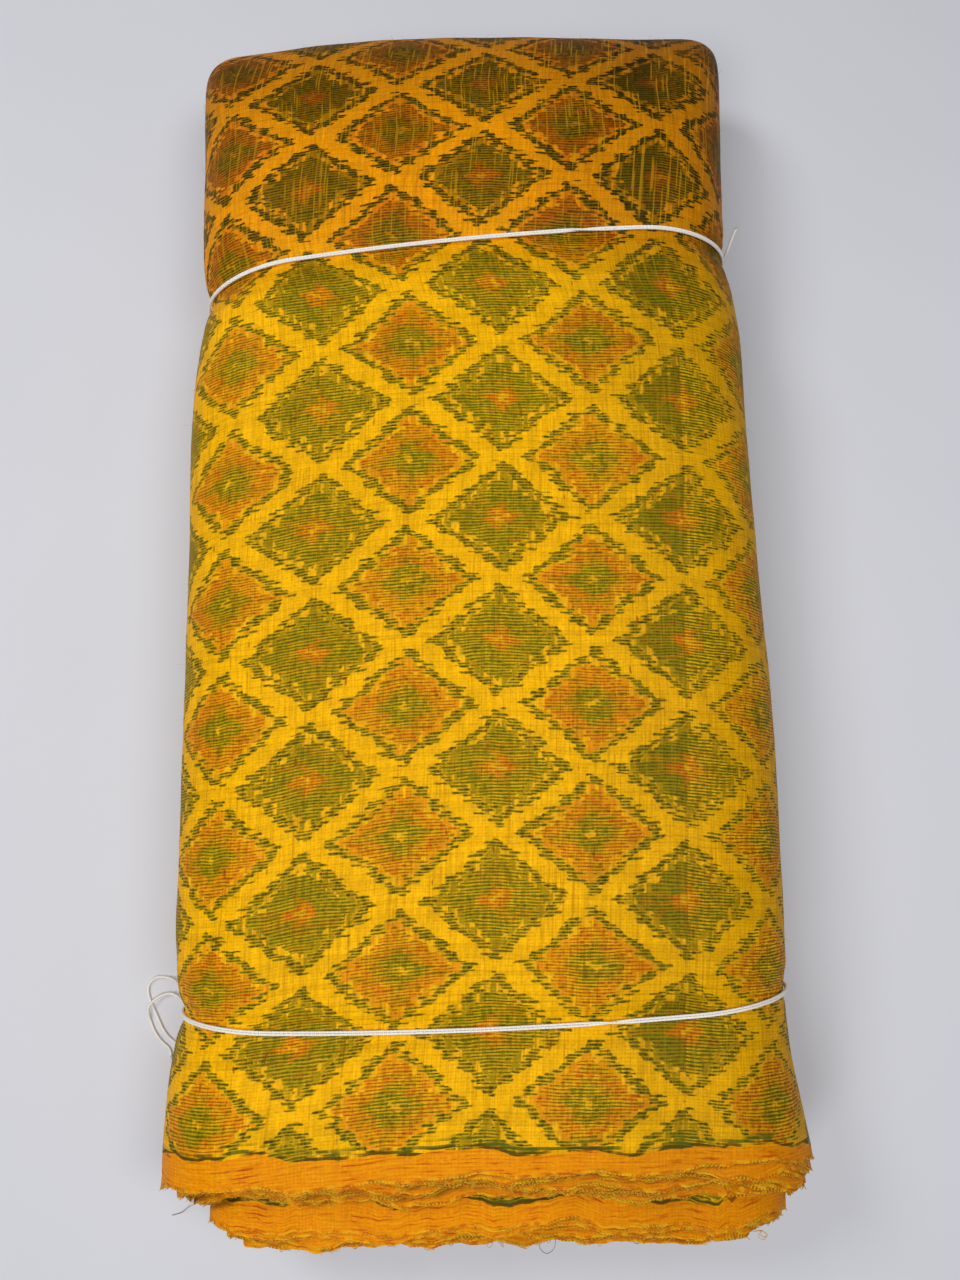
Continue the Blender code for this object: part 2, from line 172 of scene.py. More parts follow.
FreeEnd = namedtuple("FreeEnd", "name node knot route")
FREE_ENDS = (
    FreeEnd("lower_strand_a", "lower_end_a", "lower_knot", (
        (-0.1420, -0.1875, 0.0215), (-0.1475, -0.1878, 0.0105), (-0.1520, -0.1870, 0.0032),
        (-0.1568, -0.1857, ON_SURFACE), (-0.1622, -0.1857, ON_SURFACE), (-0.1656, -0.1887, ON_SURFACE),
        (-0.1659, -0.1933, ON_SURFACE), (-0.1641, -0.1980, ON_SURFACE), (-0.1610, -0.2041, ON_SURFACE),
        (-0.1578, -0.2102, ON_SURFACE), (-0.1540, -0.2147, ON_SURFACE), (-0.1490, -0.2175, ON_SURFACE),
        (-0.1430, -0.2187, ON_SURFACE),
    )),
    FreeEnd("lower_strand_b", "lower_end_b", "lower_knot", (
        (-0.1385, -0.1945, 0.0235), (-0.1438, -0.1961, 0.0125), (-0.1492, -0.1949, 0.0040),
        (-0.1550, -0.1932, 0.0012), (-0.1603, -0.1947, 0.0020), (-0.1641, -0.1980, 0.0031),
        (-0.1652, -0.2018, 0.0020), (-0.1640, -0.2067, ON_SURFACE), (-0.1614, -0.2120, ON_SURFACE),
        (-0.1578, -0.2163, ON_SURFACE), (-0.1545, -0.2191, ON_SURFACE), (-0.1532, -0.2225, ON_SURFACE),
    )),
    FreeEnd("upper_strand_a", "upper_end_a", "upper_knot", (
        (0.1125, 0.1695, 0.0190), (0.1165, 0.1722, 0.0240), (0.1190, 0.1748, 0.0310),
        (0.1204, 0.1778, 0.0370), (0.1222, 0.1830, 0.0398), (0.1244, 0.1885, 0.0405),
    )),
    FreeEnd("upper_strand_b", "upper_end_b", "upper_knot", (
        (0.1115, 0.1705, 0.0120), (0.1150, 0.1760, 0.0096), (0.1180, 0.1830, 0.0090),
        (0.1200, 0.1900, 0.0095), (0.1215, 0.1960, 0.0105),
    )),
)

Stray = namedtuple("Stray", "name radius routes")
# Threads that have come loose at the selvedges and lie beside them.
STRAY_THREADS = (
    Stray("loose_weft", 0.00013, (
        ((0.1130, -0.2800, 0.0330), (0.1165, -0.2838, 0.0345), (0.1205, -0.2866, 0.0350),
         (0.1240, -0.2860, 0.0356), (0.1262, -0.2878, 0.0362), (0.1246, -0.2898, 0.0358),
         (0.1226, -0.2884, 0.0352), (0.1244, -0.2866, 0.0350)),
        ((0.1110, -0.2790, 0.0350), (0.1160, -0.2826, 0.0356), (0.1208, -0.2854, 0.0362),
         (0.1252, -0.2866, 0.0356), (0.1268, -0.2884, 0.0350), (0.1252, -0.2892, 0.0346),
         (0.1236, -0.2876, 0.0348), (0.1250, -0.2860, 0.0352)),
    )),
    Stray("dark_loops", 0.00011, (
        ((0.0238, -0.2860, 0.0420), (0.0243, -0.2900, 0.0415), (0.0256, -0.2928, 0.0400),
         (0.0278, -0.2942, 0.0392), (0.0300, -0.2930, 0.0395), (0.0312, -0.2902, 0.0410),
         (0.0312, -0.2870, 0.0420), (0.0306, -0.2850, 0.0425)),
        ((0.0650, -0.2855, 0.0400), (0.0654, -0.2880, 0.0396), (0.0664, -0.2896, 0.0390),
         (0.0680, -0.2902, 0.0388), (0.0694, -0.2893, 0.0390), (0.0700, -0.2876, 0.0396),
         (0.0698, -0.2862, 0.0400), (0.0694, -0.2850, 0.0402)),
        ((-0.1200, -0.2600, 0.0310), (-0.1262, -0.2706, 0.0290), (-0.1308, -0.2784, 0.0220),
         (-0.1342, -0.2842, 0.0140), (-0.1372, -0.2882, 0.0070), (-0.1408, -0.2912, 0.0024),
         (-0.1450, -0.2946, 0.0006), (-0.1496, -0.2960, 0.0004)),
        ((-0.0720, -0.2858, 0.0440), (-0.0660, -0.2877, 0.0430), (-0.0600, -0.2880, 0.0425),
         (-0.0540, -0.2872, 0.0420), (-0.0480, -0.2876, 0.0415), (-0.0430, -0.2896, 0.0408),
         (-0.0390, -0.2898, 0.0405), (-0.0350, -0.2872, 0.0410)),
    )),
)


def linear(red, green, blue):
    """A colour from its usual 0 to 255 values, as the renderer wants it."""
    return tuple(((c / 255 + 0.055) / 1.055) ** 2.4 for c in (red, green, blue)) + (1.0,)


# ---------------------------------------------------------------------------------------------------------
# Settings that a user would change


def colour_setting(name, description, default):
    return bpy.props.FloatVectorProperty(
        name=name, description=description, default=default, size=4, min=0.0, max=1.0, subtype="COLOR"
    )


def length_setting(name, description, default, least):
    return bpy.props.FloatProperty(
        name=name, description=description, default=default, min=least, unit="LENGTH"
    )


class IkatClothSettings(bpy.types.PropertyGroup):
    """The silk's lattice and dyes."""

    pitch_x: length_setting(
        "Pitch across", "Distance between two diamonds of one kind, across the bolt", PITCH_X, 0.01
    )
    pitch_y: length_setting(
        "Pitch along", "Distance between two diamonds of one kind, along the bolt", PITCH_Y, 0.01
    )
    turns: bpy.props.IntProperty(
        name="Turns", description="Turns of cloth that show at the selvedge end", default=TURNS, min=6
    )
    amber: colour_setting("Amber", "The bands of the lattice", linear(254, 189, 0))
    leaf: colour_setting("Leaf green", "The filled diamonds", linear(138, 125, 4))
    moss: colour_setting("Moss green", "The stepped outlines", linear(98, 95, 6))
    rust: colour_setting("Rust", "The ring in every second diamond", linear(222, 122, 4))
    gold: colour_setting("Gold", "The weft that shows between the warp threads", linear(232, 178, 8))
    orange: colour_setting("Orange", "The plain border", linear(244, 148, 0))


class IkatStringSettings(bpy.types.PropertyGroup):
    """The white string."""

    diameter: length_setting("Diameter", "Diameter of one strand", STRAND, 0.0003)
    lay: length_setting("Lay", "Length of one twist of the string's plies", 0.0052, 0.001)
    white: colour_setting("White", "The cotton", linear(250, 246, 238))


class IkatStageSettings(bpy.types.PropertyGroup):
    """The table and the lights."""

    table: colour_setting("Table", "The surface under the bolt", linear(219, 220, 226))
    power: bpy.props.FloatProperty(
        name="Lights", description="Power of a soft light at full strength", default=7.7, min=0.0,
        unit="POWER",
    )
    sky: bpy.props.FloatProperty(
        name="Room light", description="Strength of the even light from all round", default=0.15, min=0.0
    )


# ---------------------------------------------------------------------------------------------------------
# The cloth's shape

STATIONS = np.array([row.y for row in SECTIONS])
COLUMNS = np.array([row[1:] for row in SECTIONS])
SLOPES = np.gradient(COLUMNS, STATIONS, axis=0)


def section_at(y):
    """left, right, top, lift, tilt and bow at y, on cubic pieces through the rows of SECTIONS."""
    i = int(np.clip(np.searchsorted(STATIONS, y) - 1, 0, len(STATIONS) - 2))
    span = STATIONS[i + 1] - STATIONS[i]
    t = (y - STATIONS[i]) / span
    value = (1 + 2 * t) * (1 - t) ** 2 * COLUMNS[i] + t * (1 - t) ** 2 * span * SLOPES[i]
    value = value + t * t * (3 - 2 * t) * COLUMNS[i + 1] + t * t * (t - 1) * span * SLOPES[i + 1]
    value[3] = max(0.0, value[3])
    return value


def outline(y, section, inset=0.0, flat_steps=FLAT_STEPS, side_steps=SIDE_STEPS, side_round=SIDE_ROUND):
    """Points round a flattened turn, this far inside the section: over the top, down the left side, back
    under and up the right side."""
    left, right, top, lift, tilt, bow = section
    centre, half = (left + right) / 2, (right - left) / 2
    middle, reach = (top + lift) / 2, (top - lift) / 2
    flat = np.linspace(right - side_round, left + side_round, flat_steps, endpoint=False)
    turn = np.linspace(0, math.pi, side_steps, endpoint=False)
    level = np.zeros(flat_steps)
    core = np.concatenate((
        flat,
        np.full(side_steps, left + side_round),
        left + right - flat,
        np.full(side_steps, right - side_round),
    ))
    across = np.concatenate((level, -np.sin(turn), level, np.sin(turn)))
    upward = np.concatenate((level + 1, np.cos(turn), level - 1, -np.cos(turn)))
    packed = np.interp(inset, *zip(*RIGHT_PACKED))
    x = core + across * (side_round - inset + np.where(across > 0, packed, 0.0))
    z = middle + upward * (reach - inset)
    outward = np.stack((across * reach, np.zeros_like(x), upward * side_round), axis=1)
    outward /= np.linalg.norm(outward, axis=1)[:, None]
    share = (x - centre) / half
    upper = np.clip(upward, 0, None)
    points = np.stack((x, y + tilt * (x - centre) + bow * upper * (1 - share**2), z), axis=1)
    return points, outward


def nose_ring(angle, reach=None, forward_by=0.0):
    """A ring of the rounded end, from its start at angle 0 to its tip. reach sets half its height."""
    left, right, top, _, tilt, bow = COLUMNS[-1]
    forward = math.sin(angle)
    draw_in = forward**CORNER_POWER
    height = top / 2 * math.cos(angle) if reach is None else reach
    middle = top / 2 - NOSE_SAG * forward**2
    left = left - NOSE_FLARE[0] * forward + CORNERS[0] * draw_in
    right = right + NOSE_FLARE[1] * forward - CORNERS[1] * draw_in
    section = (left, right, middle + height, middle - height, tilt * (1 - forward), bow * (1 - forward))
    side_round = SIDE_ROUND * (1 - NOSE_SQUARE * smooth_step(forward, 0.15, 0.95))
    points, outward = outline(
        STATIONS[-1] + NOSE_LENGTH * forward + forward_by, section, side_round=side_round
    )
    leftward = np.clip((TIP_DROP_FROM - points[:, 0]) / (TIP_DROP_FROM - left), 0, None)
    points[:, 1] -= TIP_DROP * forward**2 * leftward**1.5
    outward = outward * math.cos(angle) + np.array((0.0, forward, 0.0))
    return points, outward / np.linalg.norm(outward, axis=1)[:, None]


def around(points):
    """Distance along a ring from its first point, with the whole length last."""
    steps = np.linalg.norm(np.diff(np.concatenate((points, points[:1])), axis=0), axis=1)
    return np.concatenate(([0.0], np.cumsum(steps)))


def waves(at, seed, heights=(0.0010, 0.0008, 0.0004, 0.0002), rates=(52.0, 133.0, 310.0, 720.0)):
    """An uneven line: waves of these heights and rates, in radians for each metre, with their own phases."""
    rng = np.random.default_rng(seed)
    total = np.zeros_like(at)
    for height, rate in zip(heights, rates):
        total += height * np.sin(at * rate * rng.uniform(0.85, 1.15) + rng.uniform(0, 2 * math.pi))
    return total


def mouth_shift(points, section, mouth, grown, seed, unevenness=1.0):
    """How far a ring's points move along Y where a selvedge slants, waves and stands out at its sides."""
    _, _, top, lift, _, _ = section
    middle, reach = (top + lift) / 2, np.abs(points[:, 2] - (top + lift) / 2).max()
    sideways = 1 - np.abs(points[:, 2] - middle) / reach
    stand_out = SIDE_REACH * (mouth - LAP_MOUTHS[-1])
    line = unevenness * waves(around(points)[:-1], seed)
    return grown * (MOUTH_SLANT * points[:, 0] + line - stand_out * sideways)


def smooth_step(value, low, high):
    """0 below low, 1 above high and smooth between."""
    share = np.clip((value - low) / (high - low), 0, 1)
    return share * share * (3 - 2 * share)


# ---------------------------------------------------------------------------------------------------------
# Meshes


def grid_mesh(name, rows, lengths, outer=False, offset=0.0):
    """A mesh through rings of equal length, in order. lengths holds, for each ring, its length-wise texture
    place at each point. The texture's other place runs round each ring from the middle of its top, and
    starts at the offset. The outer turn is closed across its first and last ring, and both its places
    follow the cloth's pull. On another turn, the last ring joins the first."""
    count = len(rows[0])
    points = np.concatenate(rows)
    near = np.arange(len(rows) - (1 if outer else 0))
    far = (near + 1) % len(rows)
    i = np.arange(count)
    j = (i + 1) % count
    faces = np.stack(
        (
            near[:, None] * count + i,
            near[:, None] * count + j,
            far[:, None] * count + j,
            far[:, None] * count + i,
        ),
        axis=-1,
    ).reshape(-1, 4)
    seam = count // 2 + SIDE_STEPS // 2
    reach = np.array([around(row) for row in rows])
    first = np.array([row[0, 0] for row in rows])
    behind = np.where(i >= seam, 1.0, 0.0)
    u_here = first[:, None] - reach[:, :-1] + behind * reach[:, -1:]
    u_next = first[:, None] - reach[:, 1:] + behind * reach[:, -1:]
    v = np.array(lengths)
    if outer:
        shift = np.interp(v, *zip(*PULL_ACROSS))
        pull = np.interp(u_here, *zip(*PULL_AT_NOSE)) * smooth_step(v, 0.170, 0.240)
        v = v - np.interp(np.clip(u_here, -0.17, 0.16), *zip(*PULL_ALONG)) - pull
        u_here, u_next = u_here - shift, u_next - np.roll(shift, -1, axis=1)
    u_loops = np.stack((u_here[near], u_next[near], u_next[far], u_here[far]), axis=-1) + offset
    v_loops = np.stack((v[near][:, i], v[near][:, j], v[far][:, j], v[far][:, i]), axis=-1)
    polygons = faces.tolist()
    if outer:
        last = (len(rows) - 1) * count
        polygons += [face[::-1] for face in ring_cap(count)]
        polygons += [[last + k for k in face] for face in ring_cap(count)]
    mesh = bpy.data.meshes.new(name)
    mesh.from_pydata(points.tolist(), [], polygons)
    uv = np.zeros((len(mesh.loops), 2), np.float32)
    uv[: faces.size] = np.stack((u_loops, v_loops), axis=-1).reshape(-1, 2)
    mesh.uv_layers.new(name="cloth").data.foreach_set("uv", uv.reshape(-1))
    return mesh


def ring_cap(count):
    """Faces across a ring, between each point of its upper half and the point below it."""
    side = SIDE_STEPS
    flat = count // 2 - side
    below = 2 * flat + side
    faces = []
    for i in range(-side // 2, flat + side // 2):
        corners = [k % count for k in (i, i + 1, below - i - 1, below - i)]
        faces.append(list(dict.fromkeys(corners)))
    return faces


def float_attribute(mesh, name, values):
    """One number for each point, for the material."""
    mesh.attributes.new(name, "FLOAT", "POINT").data.foreach_set("value", np.asarray(values, np.float32))


def tubes_mesh(name, paths, radii, sides=3):
    """Thin closed tubes, one along each of the paths, which all have the same number of points. radii holds
    the radius at each of them."""
    paths, radii = np.array(paths), np.array(radii)
    runs, steps, _ = paths.shape
    along = np.gradient(paths, axis=1)
    along /= np.linalg.norm(along, axis=2)[..., None] + 1e-12
    lean = np.array((0.31, 0.23, 0.92))
    side_a = np.cross(along, lean)
    side_a /= np.linalg.norm(side_a, axis=2)[..., None] + 1e-12
    side_b = np.cross(along, side_a)
    angles = 2 * math.pi * np.arange(sides) / sides
    ring = side_a[:, :, None] * np.cos(angles)[:, None] + side_b[:, :, None] * np.sin(angles)[:, None]
    points = paths[:, :, None] + radii[:, :, None, None] * ring
    start = (np.arange(runs) * steps * sides)[:, None, None]
    row = (np.arange(steps - 1) * sides)[None, :, None]
    i = np.arange(sides)[None, None, :]
    j = (i + 1) % sides
    faces = np.stack(
        (start + row + i, start + row + j, start + row + sides + j, start + row + sides + i), axis=-1
    ).reshape(-1, 4)
    polygons = faces.tolist()
    for k in range(runs):
        first = k * steps * sides
        polygons.append([first + s for s in reversed(range(sides))])
        polygons.append([first + (steps - 1) * sides + s for s in range(sides)])
    mesh = bpy.data.meshes.new(name)
    mesh.from_pydata(points.reshape(-1, 3).tolist(), [], polygons)
    return mesh


def finished(mesh, material, sharp=None):
    """Puts a mesh in the scene as a piece of the bolt, with its name."""
    mesh.shade_smooth()
    if sharp is not None:
        mesh.set_sharp_from_angle(angle=sharp)
    mesh.validate()
    piece = bpy.data.objects.new(mesh.name, mesh)
    bpy.context.scene.collection.objects.link(piece)
    piece.data.materials.append(material)
    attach(piece, "root")
    return piece


# ---------------------------------------------------------------------------------------------------------
# Materials


class Value:
    """A socket that holds one number for each place on the surface. Python's operators add Math nodes."""

    def __init__(self, graph, socket):
        self.graph = graph
        self.socket = socket

    def math(self, operation, *others):
        inputs = dict(enumerate((self, *others)))
        node = self.graph.node("ShaderNodeMath", {"operation": operation}, inputs)
        return Value(self.graph, node.outputs[0])

    def __add__(self, other):
        return self.math("ADD", other)

    __radd__ = __add__

    def __sub__(self, other):
        return self.math("SUBTRACT", other)

    def __rsub__(self, other):
        return (self * -1).math("ADD", other)

    def __mul__(self, other):
        return self.math("MULTIPLY", other)

    __rmul__ = __mul__

    def __truediv__(self, other):
        return self.math("DIVIDE", other)

    def floor(self):
        return self.math("FLOOR")

    def size(self):
        return self.math("ABSOLUTE")

    def zigzag(self):
        """0 at whole numbers and 1 half way between them."""
        return self.math("PINGPONG", 0.5) * 2

    def step(self, low, high):
        """0 below low, 1 above high and smooth between. It falls instead where low is above high."""
        node = self.graph.node(
            "ShaderNodeMapRange",
            {"interpolation_type": "SMOOTHSTEP"},
            {"Value": self, "From Min": low, "From Max": high},
        )
        return Value(self.graph, node.outputs["Result"])


class Graph:
    """The nodes of one material."""

    def __init__(self, name):
        self.material = bpy.data.materials.new(name)
        self.material.use_nodes = True
        self.tree = self.material.node_tree
        self.shader = self.tree.nodes["Principled BSDF"]

    def node(self, kind, settings=None, inputs=None):
        """Adds a node of this type with its settings, and fills or links its sockets."""
        made = self.tree.nodes.new(kind)
        for key, value in (settings or {}).items():
            if key == "stops":
                self.set_stops(made.color_ramp, value)
            else:
                setattr(made, key, value)
        for key, value in (inputs or {}).items():
            self.fill(made.inputs[key], value)
        return made

    def fill(self, socket, value):
        """Links a value or a socket to this socket, or sets it."""
        if isinstance(value, Value):
            value = value.socket
        if isinstance(value, bpy.types.NodeSocket):
            self.tree.links.new(value, socket)
        elif isinstance(value, tuple):
            socket.default_value = value[: len(socket.default_value)]
        else:
            socket.default_value = value

    @staticmethod
    def set_stops(ramp, stops):
        while len(ramp.elements) > 1:
            ramp.elements.remove(ramp.elements[-1])
        ramp.elements[0].position, ramp.elements[0].color = stops[0]
        for position, colour in stops[1:]:
            ramp.elements.new(position).color = colour

    def value(self, node, output=0):
        return Value(self, node.outputs[output])

    def uv(self, name):
        """The two places of a UV map."""
        both = self.node("ShaderNodeUVMap", {"uv_map": name}).outputs[0]
        split = self.node("ShaderNodeSeparateXYZ", None, {0: both})
        return self.value(split, 0), self.value(split, 1)

    def attribute(self, name):
        return self.value(self.node("ShaderNodeAttribute", {"attribute_name": name}), "Fac")

    def vector(self, x, y):
        return self.node("ShaderNodeCombineXYZ", None, {0: x, 1: y}).outputs[0]

    def noise(self, x, y, detail=1.0, roughness=0.5):
        """Soft noise from 0 to 1, whose lumps are about 1 across in x and in y."""
        inputs = {"Vector": self.vector(x, y), "Scale": 1.0, "Detail": detail, "Roughness": roughness}
        return self.value(self.node("ShaderNodeTexNoise", {"noise_dimensions": "2D"}, inputs), "Fac")

    def mottle(self, scale, detail):
        """Soft noise through space, on object coordinates."""
        place = self.node("ShaderNodeTexCoord").outputs["Object"]
        inputs = {"Vector": place, "Scale": scale, "Detail": detail, "Roughness": 0.5}
        return self.value(self.node("ShaderNodeTexNoise", {"noise_dimensions": "3D"}, inputs), "Fac")

    def random(self, x, y):
        """An even random number from 0 to 1 for each pair of numbers."""
        inputs = {"Vector": self.vector(x, y)}
        return self.value(self.node("ShaderNodeTexWhiteNoise", {"noise_dimensions": "2D"}, inputs), "Value")

    def ramp(self, value, stops):
        return self.node("ShaderNodeValToRGB", {"stops": stops}, {0: value}).outputs[0]

    def mix(self, share, first, second):
        """From the first colour to the second."""
        settings = {"data_type": "RGBA", "clamp_factor": True}
        node = self.node("ShaderNodeMix", settings, {0: share, 6: first, 7: second})
        return node.outputs[2]

    def times(self, first, second):
        """The first colour seen through the second."""
        node = self.node("ShaderNodeVectorMath", {"operation": "MULTIPLY"}, {0: first, 1: second})
        return node.outputs[0]

    def scaled(self, colour, value):
        """A colour made lighter or darker."""
        node = self.node("ShaderNodeVectorMath", {"operation": "SCALE"}, {"Vector": colour, "Scale": value})
        return node.outputs[0]

    def finish(self, colour, roughness, height=None, bump=0.3, distance=0.0002, **plain):
        """Links what changes over the surface and sets what doesn't."""
        self.fill(self.shader.inputs["Base Color"], colour)
        self.fill(self.shader.inputs["Roughness"], roughness)
        if height is not None:
            inputs = {"Strength": bump, "Distance": distance, "Height": height}
            self.fill(self.shader.inputs["Normal"], self.node("ShaderNodeBump", None, inputs).outputs[0])
        for name, value in plain.items():
            self.shader.inputs[name.replace("_", " ")].default_value = value
        return self.material


BRIGHT = linear(250, 186, 16)  # the broken line inside the outlines, and the diamonds' middles
THREAD = 0.134  # height of a warp thread and the weft beside it, in centimetres
WEFT = 0.155  # width of a weft thread, in centimetres
BUNDLES = 12  # bundles of warp threads that were tied and dyed together, in one repeat
BAND_EDGE = (0.138, 0.160)  # depth in a diamond at which its amber band gives way to its stepped outline
OUTLINE_EDGE = (0.256, 0.282)  # and the outline to the bright line inside it

Weave = namedtuple("Weave", "u v far hem thread rib pick dots fleck streak mottle")
Dye = namedtuple("Dye", "colour depth filled rusty")


def woven(graph):
    """Places on the cloth in centimetres, its single threads and their unevenness. The warp runs round the
    bolt, along the map's first place, and the weft along the second. The threads lie in wavy lines. far is
    1 past the upper tie."""
    u, v = graph.uv("cloth")
    u, v = u * 100, v * 100
    far = v.step(13.0, 18.0)
    hem = graph.attribute("hem") * 100
    ripple = (graph.noise(u * 0.35, v * 0.8, 2.0) - 0.5) * 0.26
    lie = (v + ripple) / THREAD
    thread = lie.floor()
    pick = (u / WEFT + graph.random(thread, 3.0) * 0.6).floor()
    dots = graph.random(pick, thread)
    fleck = graph.noise(u * 5.0, thread * 2.3, 2.0).step(0.30, 0.66)
    streak = graph.noise(u * 14, v * 0.7)
    mottle = graph.noise(u * 7, v * 9, 2.0)
    return Weave(u, v, far, hem, thread, lie.zigzag(), pick, dots, fleck, streak, mottle)


def lattice(graph, weave, settings):
    """How far a place is inside its diamond, from 0 at the bands to 1 at its middle, whether that is a rust
    diamond, above 0, or a green one, and its bundle. Bundles of warp threads were tied and dyed together,
    so the pattern is stepped. Every thread slipped a little on its own, so its edges feather along the
    warp."""
    u, v, thread = weave.u, weave.v, weave.thread
    wobble = (graph.noise(u * 1.1, v * 1.3 + 20) - 0.5) * 0.5
    bundle = (v - LATTICE_Y * 100) * (BUNDLES / settings.pitch_y / 100) + wobble
    row = (bundle + 0.5).floor()
    slip = (graph.noise(u * 0.14, row * 1.7) - 0.5) * 0.26
    slip = slip + (graph.random(thread, 7.0) - 0.5) * 0.38
    slip = slip + (graph.noise(u * 1.1, thread * 1.63) - 0.5) * 0.80
    x = (u + slip - LATTICE_X * 100) / (settings.pitch_x * 100)
    kind = x.zigzag() - ((row * 0.42 + bundle * 0.58) / BUNDLES).zigzag() * 0.83 - 0.085
    bleed = (graph.noise(u * 0.9, thread * 0.31 + 9) - 0.5) * 0.05
    return kind.size() + bleed, kind, row


def dyed(graph, weave, settings):
    """The lattice's dyes. filled is 1 where a place is off the amber bands and the bright lines, and rusty
    is 1 in the ring of a rust diamond."""
    amber, moss = tuple(settings.amber), tuple(settings.moss)
    leaf, rust = tuple(settings.leaf), tuple(settings.rust)
    depth, kind, row = lattice(graph, weave, settings)
    outline_stops = (
        (0.0, amber), (BAND_EDGE[0], amber), (BAND_EDGE[1], moss),
        (OUTLINE_EDGE[0], moss), (OUTLINE_EDGE[1], BRIGHT), (0.345, BRIGHT),
    )
    green_stops = ((0.368, leaf), (0.69, leaf), (0.78, rust), (0.85, rust), (0.885, BRIGHT))
    rust_stops = ((0.368, rust), (0.56, rust), (0.66, leaf), (0.855, leaf), (0.885, BRIGHT))
    green_kind, rust_kind = (graph.ramp(depth, outline_stops + stops) for stops in (green_stops, rust_stops))
    rust_side = kind.step(-0.005, 0.005)
    colour = graph.mix(rust_side, green_kind, rust_kind)

    # The bright line is broken, and the rings are streaked with the other dye.
    faded = graph.noise(weave.u * 2.4, row * 0.9 + 50).step(0.58, 0.48)
    spots = depth.step(0.275, 0.290) * depth.step(0.368, 0.350)
    colour = graph.mix(spots * faded * (0.86 - rust_side * 0.21), colour, graph.mix(rust_side, leaf, rust))
    filled = depth.step(*BAND_EDGE) * (1 - spots)
    rusty = kind.step(0.0, 0.01) * depth.step(0.35, 0.38) * depth.step(0.66, 0.56)
    stray = graph.noise(weave.u * 0.5, weave.thread * 0.9 + 3)
    colour = graph.mix(stray.step(0.52, 0.62) * rusty * 0.55, colour, leaf)
    colour = graph.mix(stray.step(0.44, 0.36) * depth.step(0.36, 0.40) * 0.30, colour, rust)
    return Dye(colour, depth, filled, rusty)


def crossed(graph, weave, dye, colour, gold):
    """The dyed warp with the weft that shows between its threads, more in some stretches than in others, and
    hardly at all where the cloth turns down at the rounded end, where the filled diamonds also get painted
    shade. One shuttle's weft was green."""
    u, v, rib, dots, fleck, filled = weave.u, weave.v, weave.rib, weave.dots, weave.fleck, dye.filled
    # Rises towards the rounded end, where the weft shows less and the filled diamonds get painted shade.
    shaded_end = v.step(7.0, 22.0)
    green_weft = u.step(5.7, 6.4) * u.step(8.35, 8.25)
    ribbed = graph.noise(u * 0.18, v * 0.12 + 17, 2.0).step(0.34, 0.62) * 0.30 + 0.62
    ribbed = ribbed * (1 - green_weft * 0.80) * (1 - shaded_end * 0.45)
    weft = (rib + dye.rusty * -0.14).step(0.72, 0.22) * ribbed * (dots.step(0.25, 0.65) * 0.62 + fleck * 0.38)
    uneven = graph.random(weave.pick, weave.thread + 0.5) * 0.34 + fleck * -0.16 + 0.34
    shadow = rib.step(0.28, 0.85) * uneven
    # The second term is painted shade on the filled diamonds towards the rounded end.
    colour = graph.scaled(colour, 1 - (shadow + shaded_end * 0.18) * filled)
    colour = graph.scaled(colour, 1 - rib.step(0.35, 0.90) * (1 - filled) * (dots * 0.15 + 0.05))
    colour = graph.mix(weft * (filled * 0.80 + 0.20), colour, gold)
    colour = graph.mix((1 - filled) * fleck * 0.16, colour, linear(232, 138, 0))
    outlined = dye.depth.step(*BAND_EDGE) * dye.depth.step(*OUTLINE_EDGE[::-1])
    lit = outlined * (fleck * 0.16 + rib.step(0.45, 0.10) * 0.22) * (1 - weave.far)
    return graph.mix(lit, colour, gold)


def streaked(graph, weave, colour):
    """The colour with streaks and thick places in the weft, and dark lines where a pick was doubled."""
    u, v, far = weave.u, weave.v, weave.far
    wide = graph.noise(u * 2.3, v * 0.12 + 5, 2.0)
    shade = ((weave.streak - 0.5) * 0.55 + 1) * ((wide - 0.5) * 0.30 + 1) * ((weave.mottle - 0.5) * 0.35 + 1)
    colour = graph.scaled(colour, shade * ((graph.random(weave.thread, 1.0) - 0.5) * 0.18 + 0.98))
    column = (u / 0.062).floor()
    slub = graph.noise(column * 3.71, v * 0.28 + graph.random(column, 5.0) * 9)
    colour = graph.mix(slub.step(0.60, 0.70) * (far * 0.50 + 0.12), colour, linear(216, 172, 22))
    colour = graph.mix(slub.step(0.36, 0.28) * 0.26, colour, linear(150, 84, 4))
    knotty = graph.noise(u * 3.1, v * 0.9 + 44).step(0.80, 0.85)
    colour = graph.mix(knotty * 0.7, colour, linear(140, 62, 14))
    doubled = (u - 8.28 - far * 0.8).size().step(0.075, 0.03)
    doubled = doubled + (u + 5.75).size().step(0.06, 0.02) * v.step(-12, -13)
    return graph.mix(doubled * weave.dots * 0.40, colour, linear(96, 60, 12))


def dyed_silk(graph, weave, settings):
    """The lattice, with painted shade towards the right and at the rounded end, and the weft across it. Past
    the upper tie, where the cloth slopes away and is seen along its threads, painted shade makes the warp's
    colours deeper and browner."""
    u, v = weave.u, weave.v
    dye = dyed(graph, weave, settings)
    # Painted shade: the top darkens towards the right.
    colour = graph.mix(u.step(1.5, 9.0) * 0.26 + u.step(8.0, 13.5) * 0.10, dye.colour, linear(60, 50, 2))
    # Painted shade below the upper tie at the right, and where the rounded end turns down away from the
    # light.
    painted_shade = u.step(-1, 6) * v.step(5, 11) * 0.15 + v.step(19.5, 27.5) * (dye.filled * 0.16 + 0.32)
    colour = graph.scaled(colour, 1 - painted_shade)
    colour = crossed(graph, weave, dye, colour, tuple(settings.gold))
    colour = streaked(graph, weave, colour)
    # Painted shade past the upper tie, where the cloth slopes away: the colours are multiplied deeper and
    # browner.
    far_shade_tint = graph.mix(dye.filled, (0.91, 0.66, 0.7, 1.0), (0.70, 0.57, 0.5, 1.0))
    return graph.mix(weave.far, colour, graph.times(colour, far_shade_tint))


